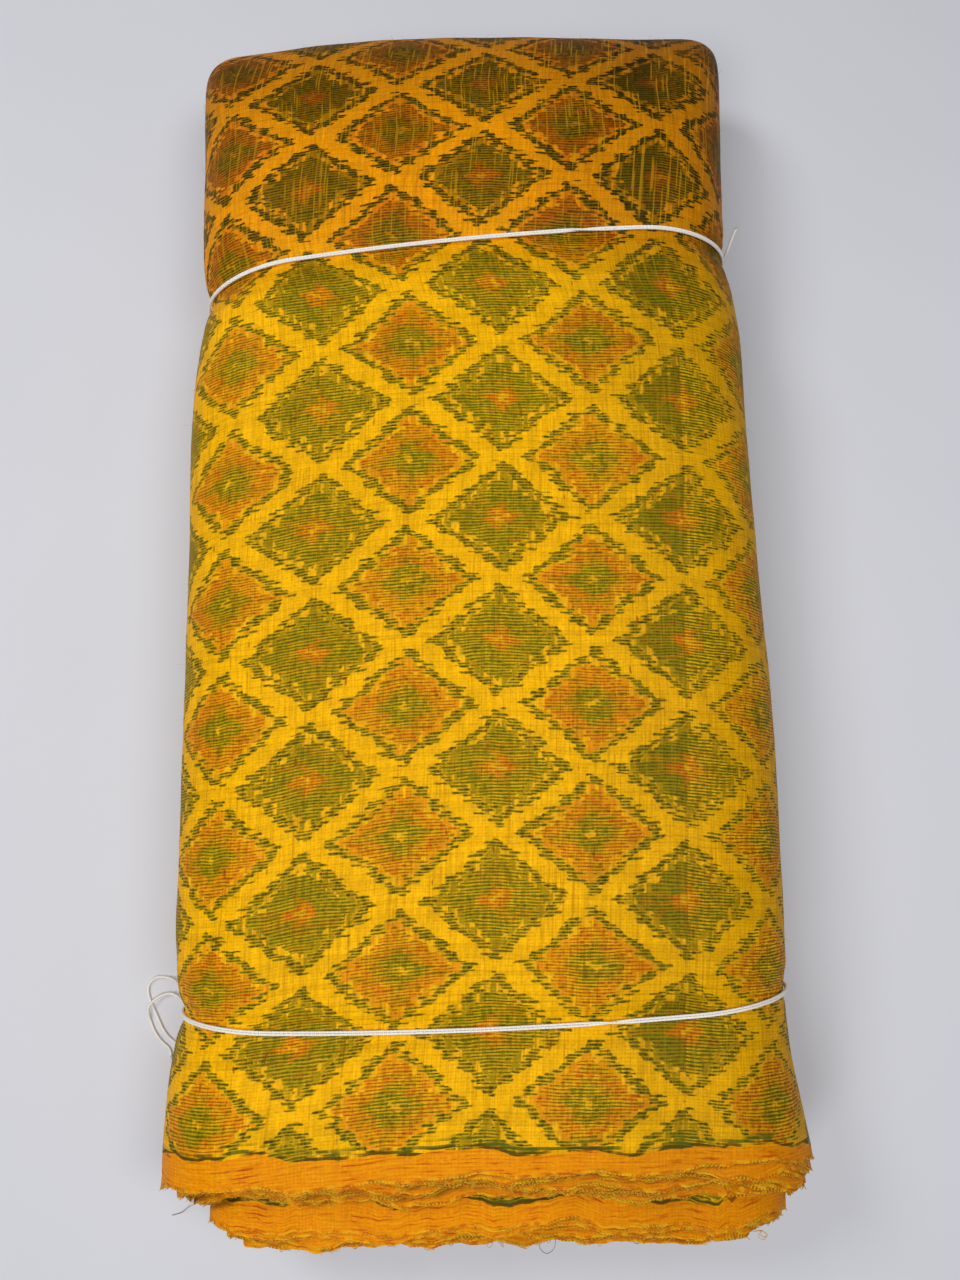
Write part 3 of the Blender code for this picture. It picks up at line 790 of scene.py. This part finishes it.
def bordered(graph, weave, colour, settings, turn):
    """The cloth with its plain border, and a dark broken line where the dyeing starts."""
    u, v = weave.u, weave.v
    if turn is None:
        width = 0.98 + u * -0.026 + (graph.noise(u * 0.30, 3.0) - 0.5) * 0.55
    else:
        width = 1.15 + (graph.noise(u * 0.3, turn * 3.7) - 0.5) * 0.9
    above = weave.hem - width
    broken = graph.noise(u * 0.55, weave.thread * 0.9 + 12, 2.0)
    streaks = above.step(0.02, 0.08) * above.step(0.60, 0.25) * broken.step(0.50, 0.60)
    line = above.step(0.0, 0.03) * above.step(0.19, 0.11) * broken.step(0.38, 0.48)
    colour = graph.mix(streaks * 0.85, colour, linear(78, 92, 18))
    colour = graph.mix(line * 0.85, colour, linear(84, 62, 14))
    crinkle = graph.noise(u * 0.7, v * 9.0, 3.0, 0.6)
    patch = graph.noise(u * 0.35, v * 1.6 + 31, 2.0).step(0.40, 0.62)
    orange = tuple(settings.orange)
    border = graph.mix(crinkle.step(0.54, 0.68) * (patch * 0.80 + 0.15), orange, linear(196, 84, 4))
    border = graph.mix(crinkle.step(0.46, 0.34) * 0.45, border, linear(250, 176, 10))
    border = graph.scaled(border, ((weave.streak - 0.5) * 0.35 + 1) * ((weave.mottle - 0.5) * 0.30 + 1))
    border = graph.scaled(border, 1 - weave.rib * (weave.dots * 0.16 + 0.06))
    # Painted shade: the border darkens towards the right.
    border = graph.mix(u.step(1.5, 9.0) * 0.22, border, linear(120, 62, 0))
    return graph.mix(above.step(0.02, -0.02), colour, border)


def frayed(graph, weave, colour, turn):
    """The selvedge itself is crinkled and rust-brown, with tufts of pale weft. Returns the colour and how
    far the tufts stand out. An inner turn gets painted shadow beside the selvedge of the turn that covers it."""
    u, hem = weave.u, weave.hem
    if turn is None:
        worn = graph.noise(u * 1.9, hem * 2.0, 3.0, 0.6)
        tint = graph.noise(u * 0.6, hem * 3.0 + 8, 2.0)
    else:
        worn = graph.noise(u * 1.9, hem * 2.0 + turn * 5.3, 3.0, 0.6)
        tint = graph.noise(u * 0.6, hem * 3.0 + turn * 2.9, 2.0)
        shown = graph.attribute("shown") * 100
        # Painted shadow just past the covering turn's selvedge.
        colour = graph.scaled(colour, shown.step(-0.03, 0.24) * 0.62 + 0.38)
    edge = hem.step(0.20, 0.05)
    colour = graph.mix(edge * worn.step(0.48, 0.62) * 0.60, colour, linear(176, 82, 6))
    colour = graph.mix(edge * worn.step(0.50, 0.38) * 0.55, colour, linear(232, 180, 26))
    colour = graph.mix(edge * tint.step(0.56, 0.66) * 0.55, colour, linear(136, 106, 8))
    turned_back = (u / 0.16 + graph.random(weave.thread, 9.0)).zigzag().step(0.45, 0.15)
    turned_back = turned_back * hem.step(0.09, 0.05) * tint.step(0.40, 0.56)
    return graph.mix(turned_back * 0.75, colour, linear(240, 194, 40)), edge * worn


def ikat_silk(name, settings, inner=False):
    """Warp-dyed silk: a lattice of amber bands round green and rust diamonds, feathered along the warp."""
    graph = Graph(name)
    weave = woven(graph)
    turn = graph.attribute("turn") if inner else None
    colour = dyed_silk(graph, weave, settings)
    colour = bordered(graph, weave, colour, settings, turn)
    colour, tufts = frayed(graph, weave, colour, turn)
    u, v = weave.u, weave.v
    height = weave.rib * 0.5 + weave.streak * 0.45 + graph.noise(u * 8, v * 9) * 0.35 + tufts * 2.0
    roughness = 0.50 + graph.noise(u * 5, v * 12) * 0.18
    return graph.finish(colour, roughness, height, bump=0.45, distance=0.00025, Specular_IOR_Level=0.06)


def cotton(name, settings):
    """White twisted cotton string, with painted shade where its plies meet."""
    graph = Graph(name)
    u, v = graph.uv("string")
    groove = (u * 3).zigzag().step(0.75, 1.0)
    fibres = graph.noise(u * 30, v * 2200, 2.0)
    # Painted shade in the grooves between the plies.
    colour = graph.mix(groove * 0.16, tuple(settings.white), linear(206, 196, 182))
    colour = graph.scaled(colour, (fibres - 0.5) * 0.16 + 1)
    height = fibres * 0.5 - groove
    return graph.finish(colour, 0.72 + fibres * 0.15, height, bump=0.4, distance=0.00015, Sheen_Weight=0.2)


def thread_material(name, colour, other):
    """A loose silk thread."""
    graph = Graph(name)
    spots = graph.mottle(900.0, 2.0)
    return graph.finish(graph.mix(spots.step(0.35, 0.65), colour, other), 0.5 + spots * 0.2)


def table_material(settings):
    """A pale, plain surface with a faint mottle."""
    graph = Graph("table")
    mottle = graph.mottle(9.0, 3.0)
    colour = graph.scaled(tuple(settings.table), (mottle - 0.5) * 0.05 + 1)
    return graph.finish(colour, 0.55 + mottle * 0.1, Specular_IOR_Level=0.3)


# ---------------------------------------------------------------------------------------------------------
# Pieces


def creased(points, outward):
    """The points with the creases of CREASES pressed into them."""
    upper = smooth_step(outward[:, 2], 0.15, 0.6)
    moved = points.copy()
    for crease in CREASES:
        start = np.array((crease.x0, crease.y0))
        line = np.array((crease.x1, crease.y1)) - start
        length = np.linalg.norm(line)
        along = (points[:, :2] - start) @ line / length**2
        bend = 0.12 * length * np.sin(math.pi * np.clip(along, 0, 1))
        nearest = start + np.clip(along, 0, 1)[:, None] * line
        off = (points[:, :2] - nearest) @ np.array((-line[1], line[0])) / length - bend
        beyond = np.linalg.norm(points[:, :2] - nearest, axis=1)
        off = np.where((along < 0) | (along > 1), beyond, off)
        fade = smooth_step(along, -0.02, 0.25) * smooth_step(along, 1.02, 0.7)
        press = crease.depth * np.exp(-((off / crease.half_width) ** 2)) * fade * upper
        moved -= outward * press[:, None]
    return moved


def settled(points, outward):
    """The points with the soft unevenness of wound cloth and the puckers that each tie draws in."""
    x, y, z = points.T
    distance = around(points)[:-1]
    swell = 0.00028 * np.sin(x * 61 + 1.3 * np.sin(y * 23)) * np.sin(y * 47 + 0.9)
    swell += 0.00012 * np.sin(x * 173 + y * 61) * np.sin(y * 139 + 2.0 + z * 90)
    swell += 0.00030 * np.sin(z * 190 + 2.0 * np.sin(y * 31)) * (1 - np.abs(outward[:, 2]))
    pucker = np.zeros_like(x)
    for tie in TIES:
        gap = np.abs(y - tie.y - tie.slant * x)
        near = np.exp(-((gap / 0.020) ** 2)) * smooth_step(gap, 0.002, 0.006)
        side = 0.25 + 0.75 * smooth_step(np.abs(x), 0.085, 0.125)
        pucker += near * side * (np.sin(distance * 640 + 3 * np.sin(distance * 71)) * 0.5 - 0.5)
    floor = smooth_step(z, 0.0, 0.006)
    return points + outward * ((swell + 0.0006 * pucker) * floor)[:, None]


def outer_turn_rings():
    """Rings of the outer turn, from behind its selvedge's inner face to inside the rounded end's fold, and
    the number of those on its inner face. They lie closer together near the ties."""
    mouth = LAP_MOUTHS[0]
    rings = []
    inner_y = np.concatenate((np.linspace(CLOTH_ROOT, mouth + 0.004, 8), [mouth + 0.0015, mouth]))
    outer_y = np.concatenate([[mouth, mouth + 0.0015]] + [np.arange(*span) for span in (
        (mouth + 0.003, -0.196, 0.0024), (-0.196, -0.1725, 0.0012), (-0.172, 0.140, 0.0026),
        (0.140, 0.166, 0.0012), (0.166, 0.1828, 0.0024),
    )])
    for y, inset in [(y, CLOTH) for y in inner_y] + [(y, 0.0) for y in outer_y]:
        section = section_at(y)
        points, outward = outline(y, section, inset)
        grown = float(np.clip((SLANT_FROM - y) / (SLANT_FROM - mouth), 0, 1))
        points[:, 1] += mouth_shift(points, section, mouth, grown, 11) + grown * OUTER_SLANT * points[:, 0]
        lift = grown**3 * waves(around(points)[:-1], 5, (0.00035, 0.00030, 0.00012), (90.0, 210.0, 520.0))
        points = points + outward * (lift * smooth_step(points[:, 2], 0.0, 0.006))[:, None]
        rings.append((points, outward))
    for angle in np.radians(np.concatenate((np.linspace(0, 66, 28), np.linspace(68, 84.5, 12)))):
        rings.append(nose_ring(angle))
    for forward_by, reach in LIP:
        rings.append(nose_ring(NOSE_END, reach, forward_by))
    return rings, len(inner_y)


def make_outer_turn(material):
    """The turn that covers the bolt. Returns its selvedge, the directions out of it and the rings that
    show."""
    rings, inner = outer_turn_rings()
    rows = []
    for k, (points, outward) in enumerate(rings):
        if inner <= k < len(rings) - len(LIP):
            points = creased(settled(points, outward), outward)
        rows.append(points)
    places = [None] * len(rows)
    places[inner] = rows[inner][:, 1]
    for k in range(inner + 1, len(rows)):
        places[k] = places[k - 1] + np.linalg.norm(rows[k] - rows[k - 1], axis=1)
    for k in range(inner):
        places[k] = places[inner] + np.abs(rows[inner][:, 1] - rows[k][:, 1])
    mesh = grid_mesh("outer_turn", rows, places, outer=True)
    mesh.flip_normals()
    hem = np.concatenate([np.abs(place - places[inner]) for place in places])
    float_attribute(mesh, "hem", hem)
    piece = finished(mesh, material, sharp=math.radians(55))
    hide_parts("cloth_bolt")
    shown = [(row, outward) for row, (_, outward) in zip(rows, rings)][inner:]
    return rows[inner], rings[inner][1], shown


Turn = namedtuple("Turn", "number lap inset mouth root")


def turn_table(count):
    """The turns inside the outer one, each with its depth, the place of its selvedge and the root of its
    band, behind the selvedge that covers it. The turns of a lap lie close together, and its inner ones stand
    out past its outer ones."""
    rng = np.random.default_rng(20)
    last = len(LAP_MOUTHS) - 1
    covering = LAP_MOUTHS[0]
    table = []
    for number in range(1, count + 1):
        depth = number / (count + 1) * len(LAP_MOUTHS)
        lap = min(int(depth), last)
        share = depth - lap
        packed = 0.10 + 0.84 * share
        spread = (LAP_MOUTHS[min(lap + 1, last)] - LAP_MOUTHS[lap]) * LAP_SPREADS[lap] * share
        mouth = LAP_MOUTHS[lap] + spread + rng.normal(0, 0.0008)
        mouth = max(mouth, LAP_MOUTHS[last] - 0.0006)
        table.append(Turn(number, lap, (lap + packed) * LAP, mouth, covering + TURN_SHOWS))
        covering = mouth
    return table


def turn_rows(turn, side_steps):
    """Rings of one turn's band, outer face from root to selvedge and inner face back again."""
    rows, outs, hems = [], [], []
    for face, order in ((0.0, TURN_SHARES), (CLOTH, TURN_SHARES[::-1])):
        for share in order:
            y = turn.root + (turn.mouth - turn.root) * share
            section = section_at(max(y, STATIONS[0]))
            plain, outward = outline(y, section, turn.inset, TURN_FLAT_STEPS, side_steps)
            opened = 0.0016 * smooth_step(plain[:, 0], -0.02, 0.05) * (outward[:, 2] > 0) * share
            into = np.clip((turn.inset - 3 * LAP) / (3 * LAP), 0, 1)
            extra = opened * (1 - into) if turn.lap >= 3 else 0.0
            inset = np.minimum(turn.inset + face + extra, (section[2] - section[3]) / 2 - 0.0002)
            points, outward = outline(y, section, inset, TURN_FLAT_STEPS, side_steps)
            at = around(points)[:-1]
            points[:, 1] += mouth_shift(points, section, turn.mouth, 1.0, 50 + turn.lap, 1.5)
            points[:, 1] += 0.45 * share * waves(at, 100 + turn.number)
            flutter = waves(at, 300 + turn.lap, (0.00030, 0.00022, 0.00010), (80.0, 230.0, 560.0))
            flutter += waves(at, 400 + turn.number, (0.00008, 0.00006), (150.0, 620.0))
            points += outward * (flutter * share**2 * smooth_step(points[:, 2], 0.001, 0.006))[:, None]
            rows.append(points)
            outs.append(outward)
            hems.append(np.full(len(points), (1 - share) * (turn.root - turn.mouth)))
    return rows, outs, hems


def make_inner_turns(count, edge, material):
    """The turns inside the outer one, whose selvedge is the edge, as one mesh for each lap. Returns the
    selvedges' lines."""
    table = turn_table(count)
    selvedges = []
    last = len(TURN_SHARES) - 1
    most, least = TURN_SIDE_STEPS
    around_edge = around(edge)
    cover = (around_edge[:-1] / around_edge[-1], edge[:, 1])
    for lap in range(len(LAP_MOUTHS)):
        meshes = []
        for turn in (row for row in table if row.lap == lap):
            share = turn.inset / (len(LAP_MOUTHS) * LAP)
            rows, outs, hems = turn_rows(turn, int(most - (most - least) * share) // 2 * 2)
            lengths = [LAP_MOUTHS[0] + hem for hem in hems]
            mesh = grid_mesh("turn", rows, lengths, offset=turn.number * TURN_SHIFT % PITCH_X)
            float_attribute(mesh, "hem", np.concatenate(hems))
            float_attribute(mesh, "turn", np.full(len(mesh.vertices), float(turn.number)))
            at = around(rows[last])
            place = at[:-1] / at[-1]
            covered = np.interp(place, *cover, period=1.0)
            # How far each point lies past the covering turn's selvedge; the material paints shadow close to
            # it.
            float_attribute(mesh, "shown", np.concatenate([covered - row[:, 1] for row in rows]))
            cover = (place, rows[last][:, 1])
            meshes.append(mesh)
            selvedges.append((turn, rows[last], outs[last]))
        joined = join_meshes(f"lap_{lap + 1}_turns", meshes)
        finished(joined, material, sharp=math.radians(50))
    return selvedges


def join_meshes(name, meshes):
    """One mesh of several, joined as by hand."""
    bpy.ops.object.select_all(action="DESELECT")
    for mesh in meshes:
        item = bpy.data.objects.new(mesh.name, mesh)
        bpy.context.scene.collection.objects.link(item)
        item.select_set(True)
        bpy.context.view_layer.objects.active = item
    if len(meshes) > 1:
        bpy.ops.object.join()
    joined = bpy.context.view_layer.objects.active
    mesh = joined.data
    bpy.data.objects.remove(joined)
    mesh.name = name
    return mesh


def make_selvedge_loops(selvedges, material):
    """Small loops of weft that stand out of the selvedges."""
    rng = np.random.default_rng(7)
    paths, radii = [], []
    for line, outward, chance in selvedges:
        at = around(line)
        place = 0.0
        while place < at[-2]:
            place += rng.exponential(0.0014) + 0.0004
            if rng.random() > chance or place >= at[-2]:
                continue
            i = int(np.searchsorted(at, place)) - 1
            j = (i + 1) % len(line)
            share = (place - at[i]) / (at[i + 1] - at[i])
            foot = line[i] * (1 - share) + line[j] * share
            if foot[2] < 0.002:
                continue
            along = line[j] - line[i]
            along /= np.linalg.norm(along)
            width = rng.uniform(0.0003, 0.0012)
            reach = rng.uniform(0.0003, 0.0011) * (2.2 if rng.random() < 0.06 else 1)
            lean = rng.normal(0, 0.5)
            lift = rng.normal(0.1, 0.5)
            t = np.linspace(0, math.pi, 6)
            out = np.sin(t) * reach
            side = -np.cos(t) * width * (1 + 0.6 * np.sin(t))
            path = foot + side[:, None] * along + out[:, None] * np.array((0, -1, 0))
            path = path + out[:, None] * (lean * along + lift * outward[i])
            path = path + np.array((0, 0.0003, 0))
            path[:, 2] = np.maximum(path[:, 2], 0.0003)
            paths.append(path)
            radii.append(np.full(6, rng.uniform(0.00009, 0.00016)))
    finished(tubes_mesh("selvedge_loops", paths, radii), material)


def resampled(points, step):
    """Points about a step apart along a line through many close points, with both its ends."""
    line = np.array([tuple(p) for p in points])
    reach = np.concatenate(([0.0], np.cumsum(np.linalg.norm(np.diff(line, axis=0), axis=1))))
    count = max(3, round(reach[-1] / step) + 1)
    at = np.linspace(0.0, reach[-1], count)
    return np.stack([np.interp(at, reach, line[:, k]) for k in range(3)], axis=1)


def smooth_line(points, pieces=12):
    """Close points on a Catmull-Rom curve through a route's own points."""
    points = [Vector(p) for p in points]
    ends = [points[0] * 2 - points[1], *points, points[-1] * 2 - points[-2]]
    line = []
    for a, b, c, d in zip(ends, ends[1:], ends[2:], ends[3:]):
        for i in range(pieces):
            t = i / pieces
            line.append(0.5 * (2 * b + (c - a) * t + (2 * a - 5 * b + 4 * c - d) * t**2
                               + (3 * b - a - 3 * c + d) * t**3))
    return [*line, points[-1]]


def twisted_mesh(name, path, diameter, lay, squeeze=1.0, plies=3, corners=4, closed=False):
    """A string of twisted plies along a path of close points, squeezed to this share of its width along Y."""
    path = [Vector(p) for p in path]
    sides = plies * corners
    count = len(path)
    ahead = [(path[min(k + 1, count - 1)] - path[max(k - 1, 0)]).normalized() for k in range(count)]
    if closed:
        ahead = [(path[(k + 1) % count] - path[k - 1]).normalized() for k in range(count)]
    first = ahead[0].orthogonal().normalized()
    points, reach = [], 0.0
    reaches = []
    for k in range(count):
        if k:
            reach += (path[k] - path[k - 1]).length
            turn = ahead[k - 1].rotation_difference(ahead[k])
            first = (turn @ first).normalized()
        reaches.append(reach)
        second = ahead[k].cross(first)
        for i in range(sides):
            at = 2 * math.pi * i / sides
            radius = diameter / 2 * (1 - 0.10 * (0.5 - 0.5 * math.cos(plies * at)))
            angle = at + 2 * math.pi * reach / lay
            off = (first * math.cos(angle) + second * math.sin(angle)) * radius
            off.y *= squeeze
            points.append(path[k] + off)
    faces, uv = [], []
    spans = count if closed else count - 1
    for k in range(spans):
        far = (k + 1) % count
        far_reach = reaches[far] if far else reaches[-1] + (path[0] - path[-1]).length
        for i in range(sides):
            j = (i + 1) % sides
            faces.append((k * sides + i, k * sides + j, far * sides + j, far * sides + i))
            low, high = i / sides, (i + 1) / sides
            uv += [(low, reaches[k]), (high, reaches[k]), (high, far_reach), (low, far_reach)]
    if not closed:
        for k, order in ((0, range(sides)[::-1]), (count - 1, range(sides))):
            faces.append([k * sides + i for i in order])
            uv += [(i / sides, reaches[k]) for i in order]
    mesh = bpy.data.meshes.new(name)
    mesh.from_pydata([tuple(p) for p in points], [], faces)
    layer = mesh.uv_layers.new(name="string")
    layer.data.foreach_set("uv", np.array(uv, np.float32).reshape(-1))
    return mesh


def knot_middle(node):
    """The middle of a knot's solid."""
    low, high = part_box(node)
    return (Vector(low) + Vector(high)) / 2


def tie_path(tie, offset):
    """One strand's line round the cloth, this far along Y from the tie's middle, from the knot and back.
    The tie's two strands change places over the top, at its crossing."""
    ring, outward = outline(tie.y, section_at(tie.y), -(CLEARANCE + STRAND / 2))
    middle = np.array(knot_middle(tie.knot))
    nearest = int(np.argmin(np.linalg.norm(ring - middle, axis=1)))
    top = outward[:, 2] > 0.5
    swapped = smooth_step(ring[:, 0], tie.crossing - 0.016, tie.crossing + 0.016)
    side = np.where(top, np.cos(math.pi * swapped), np.where(ring[:, 0] > tie.crossing, -1.0, 1.0))
    over = np.where(top, np.sin(math.pi * swapped), 0.0) * (offset > 0)
    ring = ring + outward * (0.00055 * over)[:, None]
    ring[:, 1] += offset * side
    order = [(nearest + k) % len(ring) for k in range(3, len(ring) - 2)]
    line = ring[order]
    inside = middle + np.array((0.0, 0.4 * offset, 0.0))
    return resampled(smooth_line([inside, *line[::3], line[-1], inside], 4), 0.0008)


def make_ties(settings, material):
    """Each tie is two strands side by side, pressed narrower against each other."""
    for tie in TIES:
        strands = []
        for side in (-1, 1):
            path = tie_path(tie, side * settings.diameter * 0.36)
            strands.append(twisted_mesh("strand", path, settings.diameter, settings.lay, squeeze=0.76))
        piece = finished(join_meshes(tie.name, strands), material)
        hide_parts(tie.node)


def make_knots(settings, material):
    """Each knot is a pulled overhand knot of the doubled string."""
    for tie in TIES:
        middle = knot_middle(tie.knot)
        ring, outward = outline(tie.y, section_at(tie.y))
        nearest = int(np.argmin(np.linalg.norm(ring - np.array(middle), axis=1)))
        out = Vector(outward[nearest])
        along = Vector(ring[(nearest + 1) % len(ring)] - ring[nearest - 1]).normalized()
        side = along.cross(out).normalized()
        loops = []
        for scale, phase in ((1.0, 0.0), (0.72, 0.9)):
            path = []
            for k in range(KNOT_STEPS):
                t = 2 * math.pi * k / KNOT_STEPS + phase
                a = (math.sin(t) + 2 * math.sin(2 * t)) / 3 * KNOT_REACH[0] * scale
                b = (math.cos(t) - 2 * math.cos(2 * t)) / 3 * KNOT_REACH[1] * scale
                c = -math.sin(3 * t) * KNOT_REACH[2] * scale
                path.append(middle + side * a + along * b + out * c)
            loops.append(twisted_mesh("loop", path, settings.diameter * 0.92, settings.lay, closed=True))
        piece = finished(join_meshes(tie.knot_name, loops), material)
        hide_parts(tie.knot)


def make_free_ends(settings, material):
    tips = []
    for end in FREE_ENDS:
        start = knot_middle(end.knot)
        first = Vector(end.route[0])
        start = start + (first - start).normalized() * 0.0022
        path = resampled(smooth_line([start, *end.route]), 0.0007)
        mesh = twisted_mesh(end.name, path, settings.diameter, settings.lay)
        piece = finished(mesh, material)
        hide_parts(end.node)
        tips.append((path[-1], path[-1] - path[-4]))
    return tips


def make_stray_threads(materials):
    """The loose threads of STRAY_THREADS, each kind with its own material."""
    for stray, material in zip(STRAY_THREADS, materials):
        paths = [[tuple(p) for p in smooth_line(route, 6)] for route in stray.routes]
        radii = np.full(np.shape(paths)[:2], stray.radius)
        finished(tubes_mesh(stray.name, paths, radii, 4), material)


def make_nap(rings, material):
    """Short fibres that stand out of the cloth, most of them at the rounded end and on its sides."""
    rng = np.random.default_rng(31)
    paths, radii = [], []
    while len(paths) < NAP:
        k = int(rng.integers(12, len(rings) - 8))
        points, outward = rings[k]
        i = int(rng.integers(0, len(points)))
        foot, out = points[i], outward[i]
        nose = foot[1] > 0.2
        wanted = 1.0 if nose and out[2] > -0.2 else 0.45 if abs(out[0]) > 0.6 else 0.12
        if foot[2] < 0.004 or rng.random() > wanted:
            continue
        length = rng.uniform(0.0004, 0.0016) * (1.8 if rng.random() < 0.10 else 1)
        t = np.linspace(0, 1, 5)
        lean = rng.normal(0, 0.7, 3)
        path = foot + (t[:, None] * out + (t**2)[:, None] * lean) * length - out * 0.0003
        paths.append(path + np.append(np.zeros((1, 3)), rng.normal(0, 0.00006, (4, 3)), axis=0))
        radii.append(np.linspace(0.00008, 0.00003, 5))
    finished(tubes_mesh("nap", paths, radii), material)


def make_string_frays(tips, material):
    """Loose fibres at the string's cut ends."""
    rng = np.random.default_rng(3)
    paths, radii = [], []
    for tip, ahead in tips:
        ahead = ahead / np.linalg.norm(ahead)
        for _ in range(FRAYS):
            spread = rng.normal(0, 0.55, 3)
            length = rng.uniform(0.0010, 0.0034)
            t = np.linspace(0, 1, 5)
            path = tip - ahead * 0.0006 + t[:, None] * ahead * length
            path = path + (t**1.6)[:, None] * spread * length * 0.6
            path = path + rng.normal(0, 0.0002, 3)
            path[:, 2] = np.maximum(path[:, 2], 0.0002)
            paths.append(path)
            radii.append(np.linspace(0.00011, 0.00003, 5))
    finished(tubes_mesh("string_frays", paths, radii), material)


Light = namedtuple("Light", "name place size strength")
LIGHTS = (
    Light("far_light", (-0.90, 0.60, 1.20), 0.5, 0.90),
    Light("near_light", (-0.45, -0.60, 1.20), 0.5, 0.60),
    Light("right_light", (0.45, 0.0, 1.20), 0.5, 0.48),
    Light("ceiling_light", (0.15, -0.30, 1.60), 0.1, 0.55),
)
CAMERA_PLACE = (-0.0056, -0.0793, 0.4945)
CAMERA_TURN = (7.27, -0.32, 0.34)  # degrees about X, Y and Z, from looking straight down
CAMERA_LENS = 27.03  # millimetres


def make_stage(settings):
    """The table, the lights and a camera almost straight above the bolt."""
    bpy.ops.object.select_all(action="DESELECT")
    bpy.ops.mesh.primitive_plane_add(size=8.0, location=(0.0, 0.0, 0.0))
    table = bpy.context.object
    table.name = "table"
    table.data.materials.append(table_material(settings))

    for light in LIGHTS:
        data = bpy.data.lights.new(light.name, "AREA")
        data.shape = "DISK"
        data.size = light.size
        data.energy = settings.power * light.strength
        lamp = bpy.data.objects.new(light.name, data)
        lamp.location = light.place
        lamp.rotation_euler = (-Vector(light.place)).to_track_quat("-Z", "Y").to_euler()
        bpy.context.scene.collection.objects.link(lamp)

    world = bpy.data.worlds.new("room")
    world.use_nodes = True
    background = world.node_tree.nodes["Background"]
    background.inputs["Color"].default_value = (0.93, 0.95, 1.0, 1.0)
    background.inputs["Strength"].default_value = settings.sky
    bpy.context.scene.world = world

    data = bpy.data.cameras.new("camera")
    data.lens = CAMERA_LENS
    camera = bpy.data.objects.new("camera", data)
    camera.location = CAMERA_PLACE
    camera.rotation_euler = [math.radians(turn) for turn in CAMERA_TURN]
    bpy.context.scene.collection.objects.link(camera)
    bpy.context.scene.camera = camera
    bpy.context.scene.view_settings.view_transform = "Standard"


# ---------------------------------------------------------------------------------------------------------
# Operators


class IKAT_OT_cloth(bpy.types.Operator):
    """Add the outer turn, the turns that show inside it and their frayed selvedges"""

    bl_idname = "ikat.cloth"
    bl_label = "Cloth"

    def execute(self, context):
        settings = context.scene.ikat_cloth
        edge, outward, shown = make_outer_turn(ikat_silk("ikat_silk", settings))
        selvedges = make_inner_turns(settings.turns, edge, ikat_silk("ikat_selvedges", settings, inner=True))
        outer, third, other = LOOP_CHANCES
        lines = [(edge, outward, outer)]
        lines += [(line, out, other if turn.number % 3 else third) for turn, line, out in selvedges]
        weft = thread_material("weft_ends", linear(214, 160, 20), linear(238, 190, 50))
        make_selvedge_loops(lines, weft)
        dark = thread_material("dark_threads", linear(86, 60, 22), linear(58, 44, 24))
        make_stray_threads((weft, dark))
        make_nap(shown, thread_material("nap_fibres", linear(150, 130, 12), linear(206, 170, 30)))
        return {"FINISHED"}


class IKAT_OT_ties(bpy.types.Operator):
    """Add the two doubled strings and their knots"""

    bl_idname = "ikat.ties"
    bl_label = "Ties"

    def execute(self, context):
        settings = context.scene.ikat_string
        material = cotton("white_cotton", settings)
        make_ties(settings, material)
        make_knots(settings, material)
        return {"FINISHED"}


class IKAT_OT_free_ends(bpy.types.Operator):
    """Add the strings' free ends"""

    bl_idname = "ikat.free_ends"
    bl_label = "Free ends"

    def execute(self, context):
        settings = context.scene.ikat_string
        tips = make_free_ends(settings, cotton("end_cotton", settings))
        fibres = thread_material("cotton_fibres", linear(232, 228, 218), linear(206, 200, 188))
        make_string_frays(tips, fibres)
        return {"FINISHED"}


class IKAT_OT_stage(bpy.types.Operator):
    """Add the table, the lights and the camera"""

    bl_idname = "ikat.stage"
    bl_label = "Table, lights and camera"

    def execute(self, context):
        make_stage(context.scene.ikat_stage)
        return {"FINISHED"}


class IKAT_PT_bolt(bpy.types.Panel):
    """Shows the settings and the buttons that add the bolt's pieces"""

    bl_idname = "IKAT_PT_bolt"
    bl_label = "Ikat bolt"
    bl_space_type = "VIEW_3D"
    bl_region_type = "UI"
    bl_category = "Ikat bolt"

    def draw(self, context):
        for settings, operators in (
            (context.scene.ikat_stage, (IKAT_OT_stage,)),
            (context.scene.ikat_cloth, (IKAT_OT_cloth,)),
            (context.scene.ikat_string, (IKAT_OT_free_ends, IKAT_OT_ties)),
        ):
            box = self.layout.box()
            for name in settings.bl_rna.properties.keys():
                if name not in ("rna_type", "name"):
                    box.prop(settings, name)
            for operator in operators:
                box.operator(operator.bl_idname)


CLASSES = (
    IkatClothSettings,
    IkatStringSettings,
    IkatStageSettings,
    IKAT_OT_stage,
    IKAT_OT_free_ends,
    IKAT_OT_cloth,
    IKAT_OT_ties,
    IKAT_PT_bolt,
)


def register():
    for item in CLASSES:
        bpy.utils.register_class(item)
    bpy.types.Scene.ikat_cloth = bpy.props.PointerProperty(type=IkatClothSettings)
    bpy.types.Scene.ikat_string = bpy.props.PointerProperty(type=IkatStringSettings)
    bpy.types.Scene.ikat_stage = bpy.props.PointerProperty(type=IkatStageSettings)


def unregister():
    del bpy.types.Scene.ikat_stage
    del bpy.types.Scene.ikat_string
    del bpy.types.Scene.ikat_cloth
    for item in reversed(CLASSES):
        bpy.utils.unregister_class(item)


def main():
    register()
    bpy.ops.ikat.stage()
    bpy.ops.ikat.free_ends()
    bpy.ops.ikat.cloth()
    bpy.ops.ikat.ties()


if __name__ == "__main__":
    main()
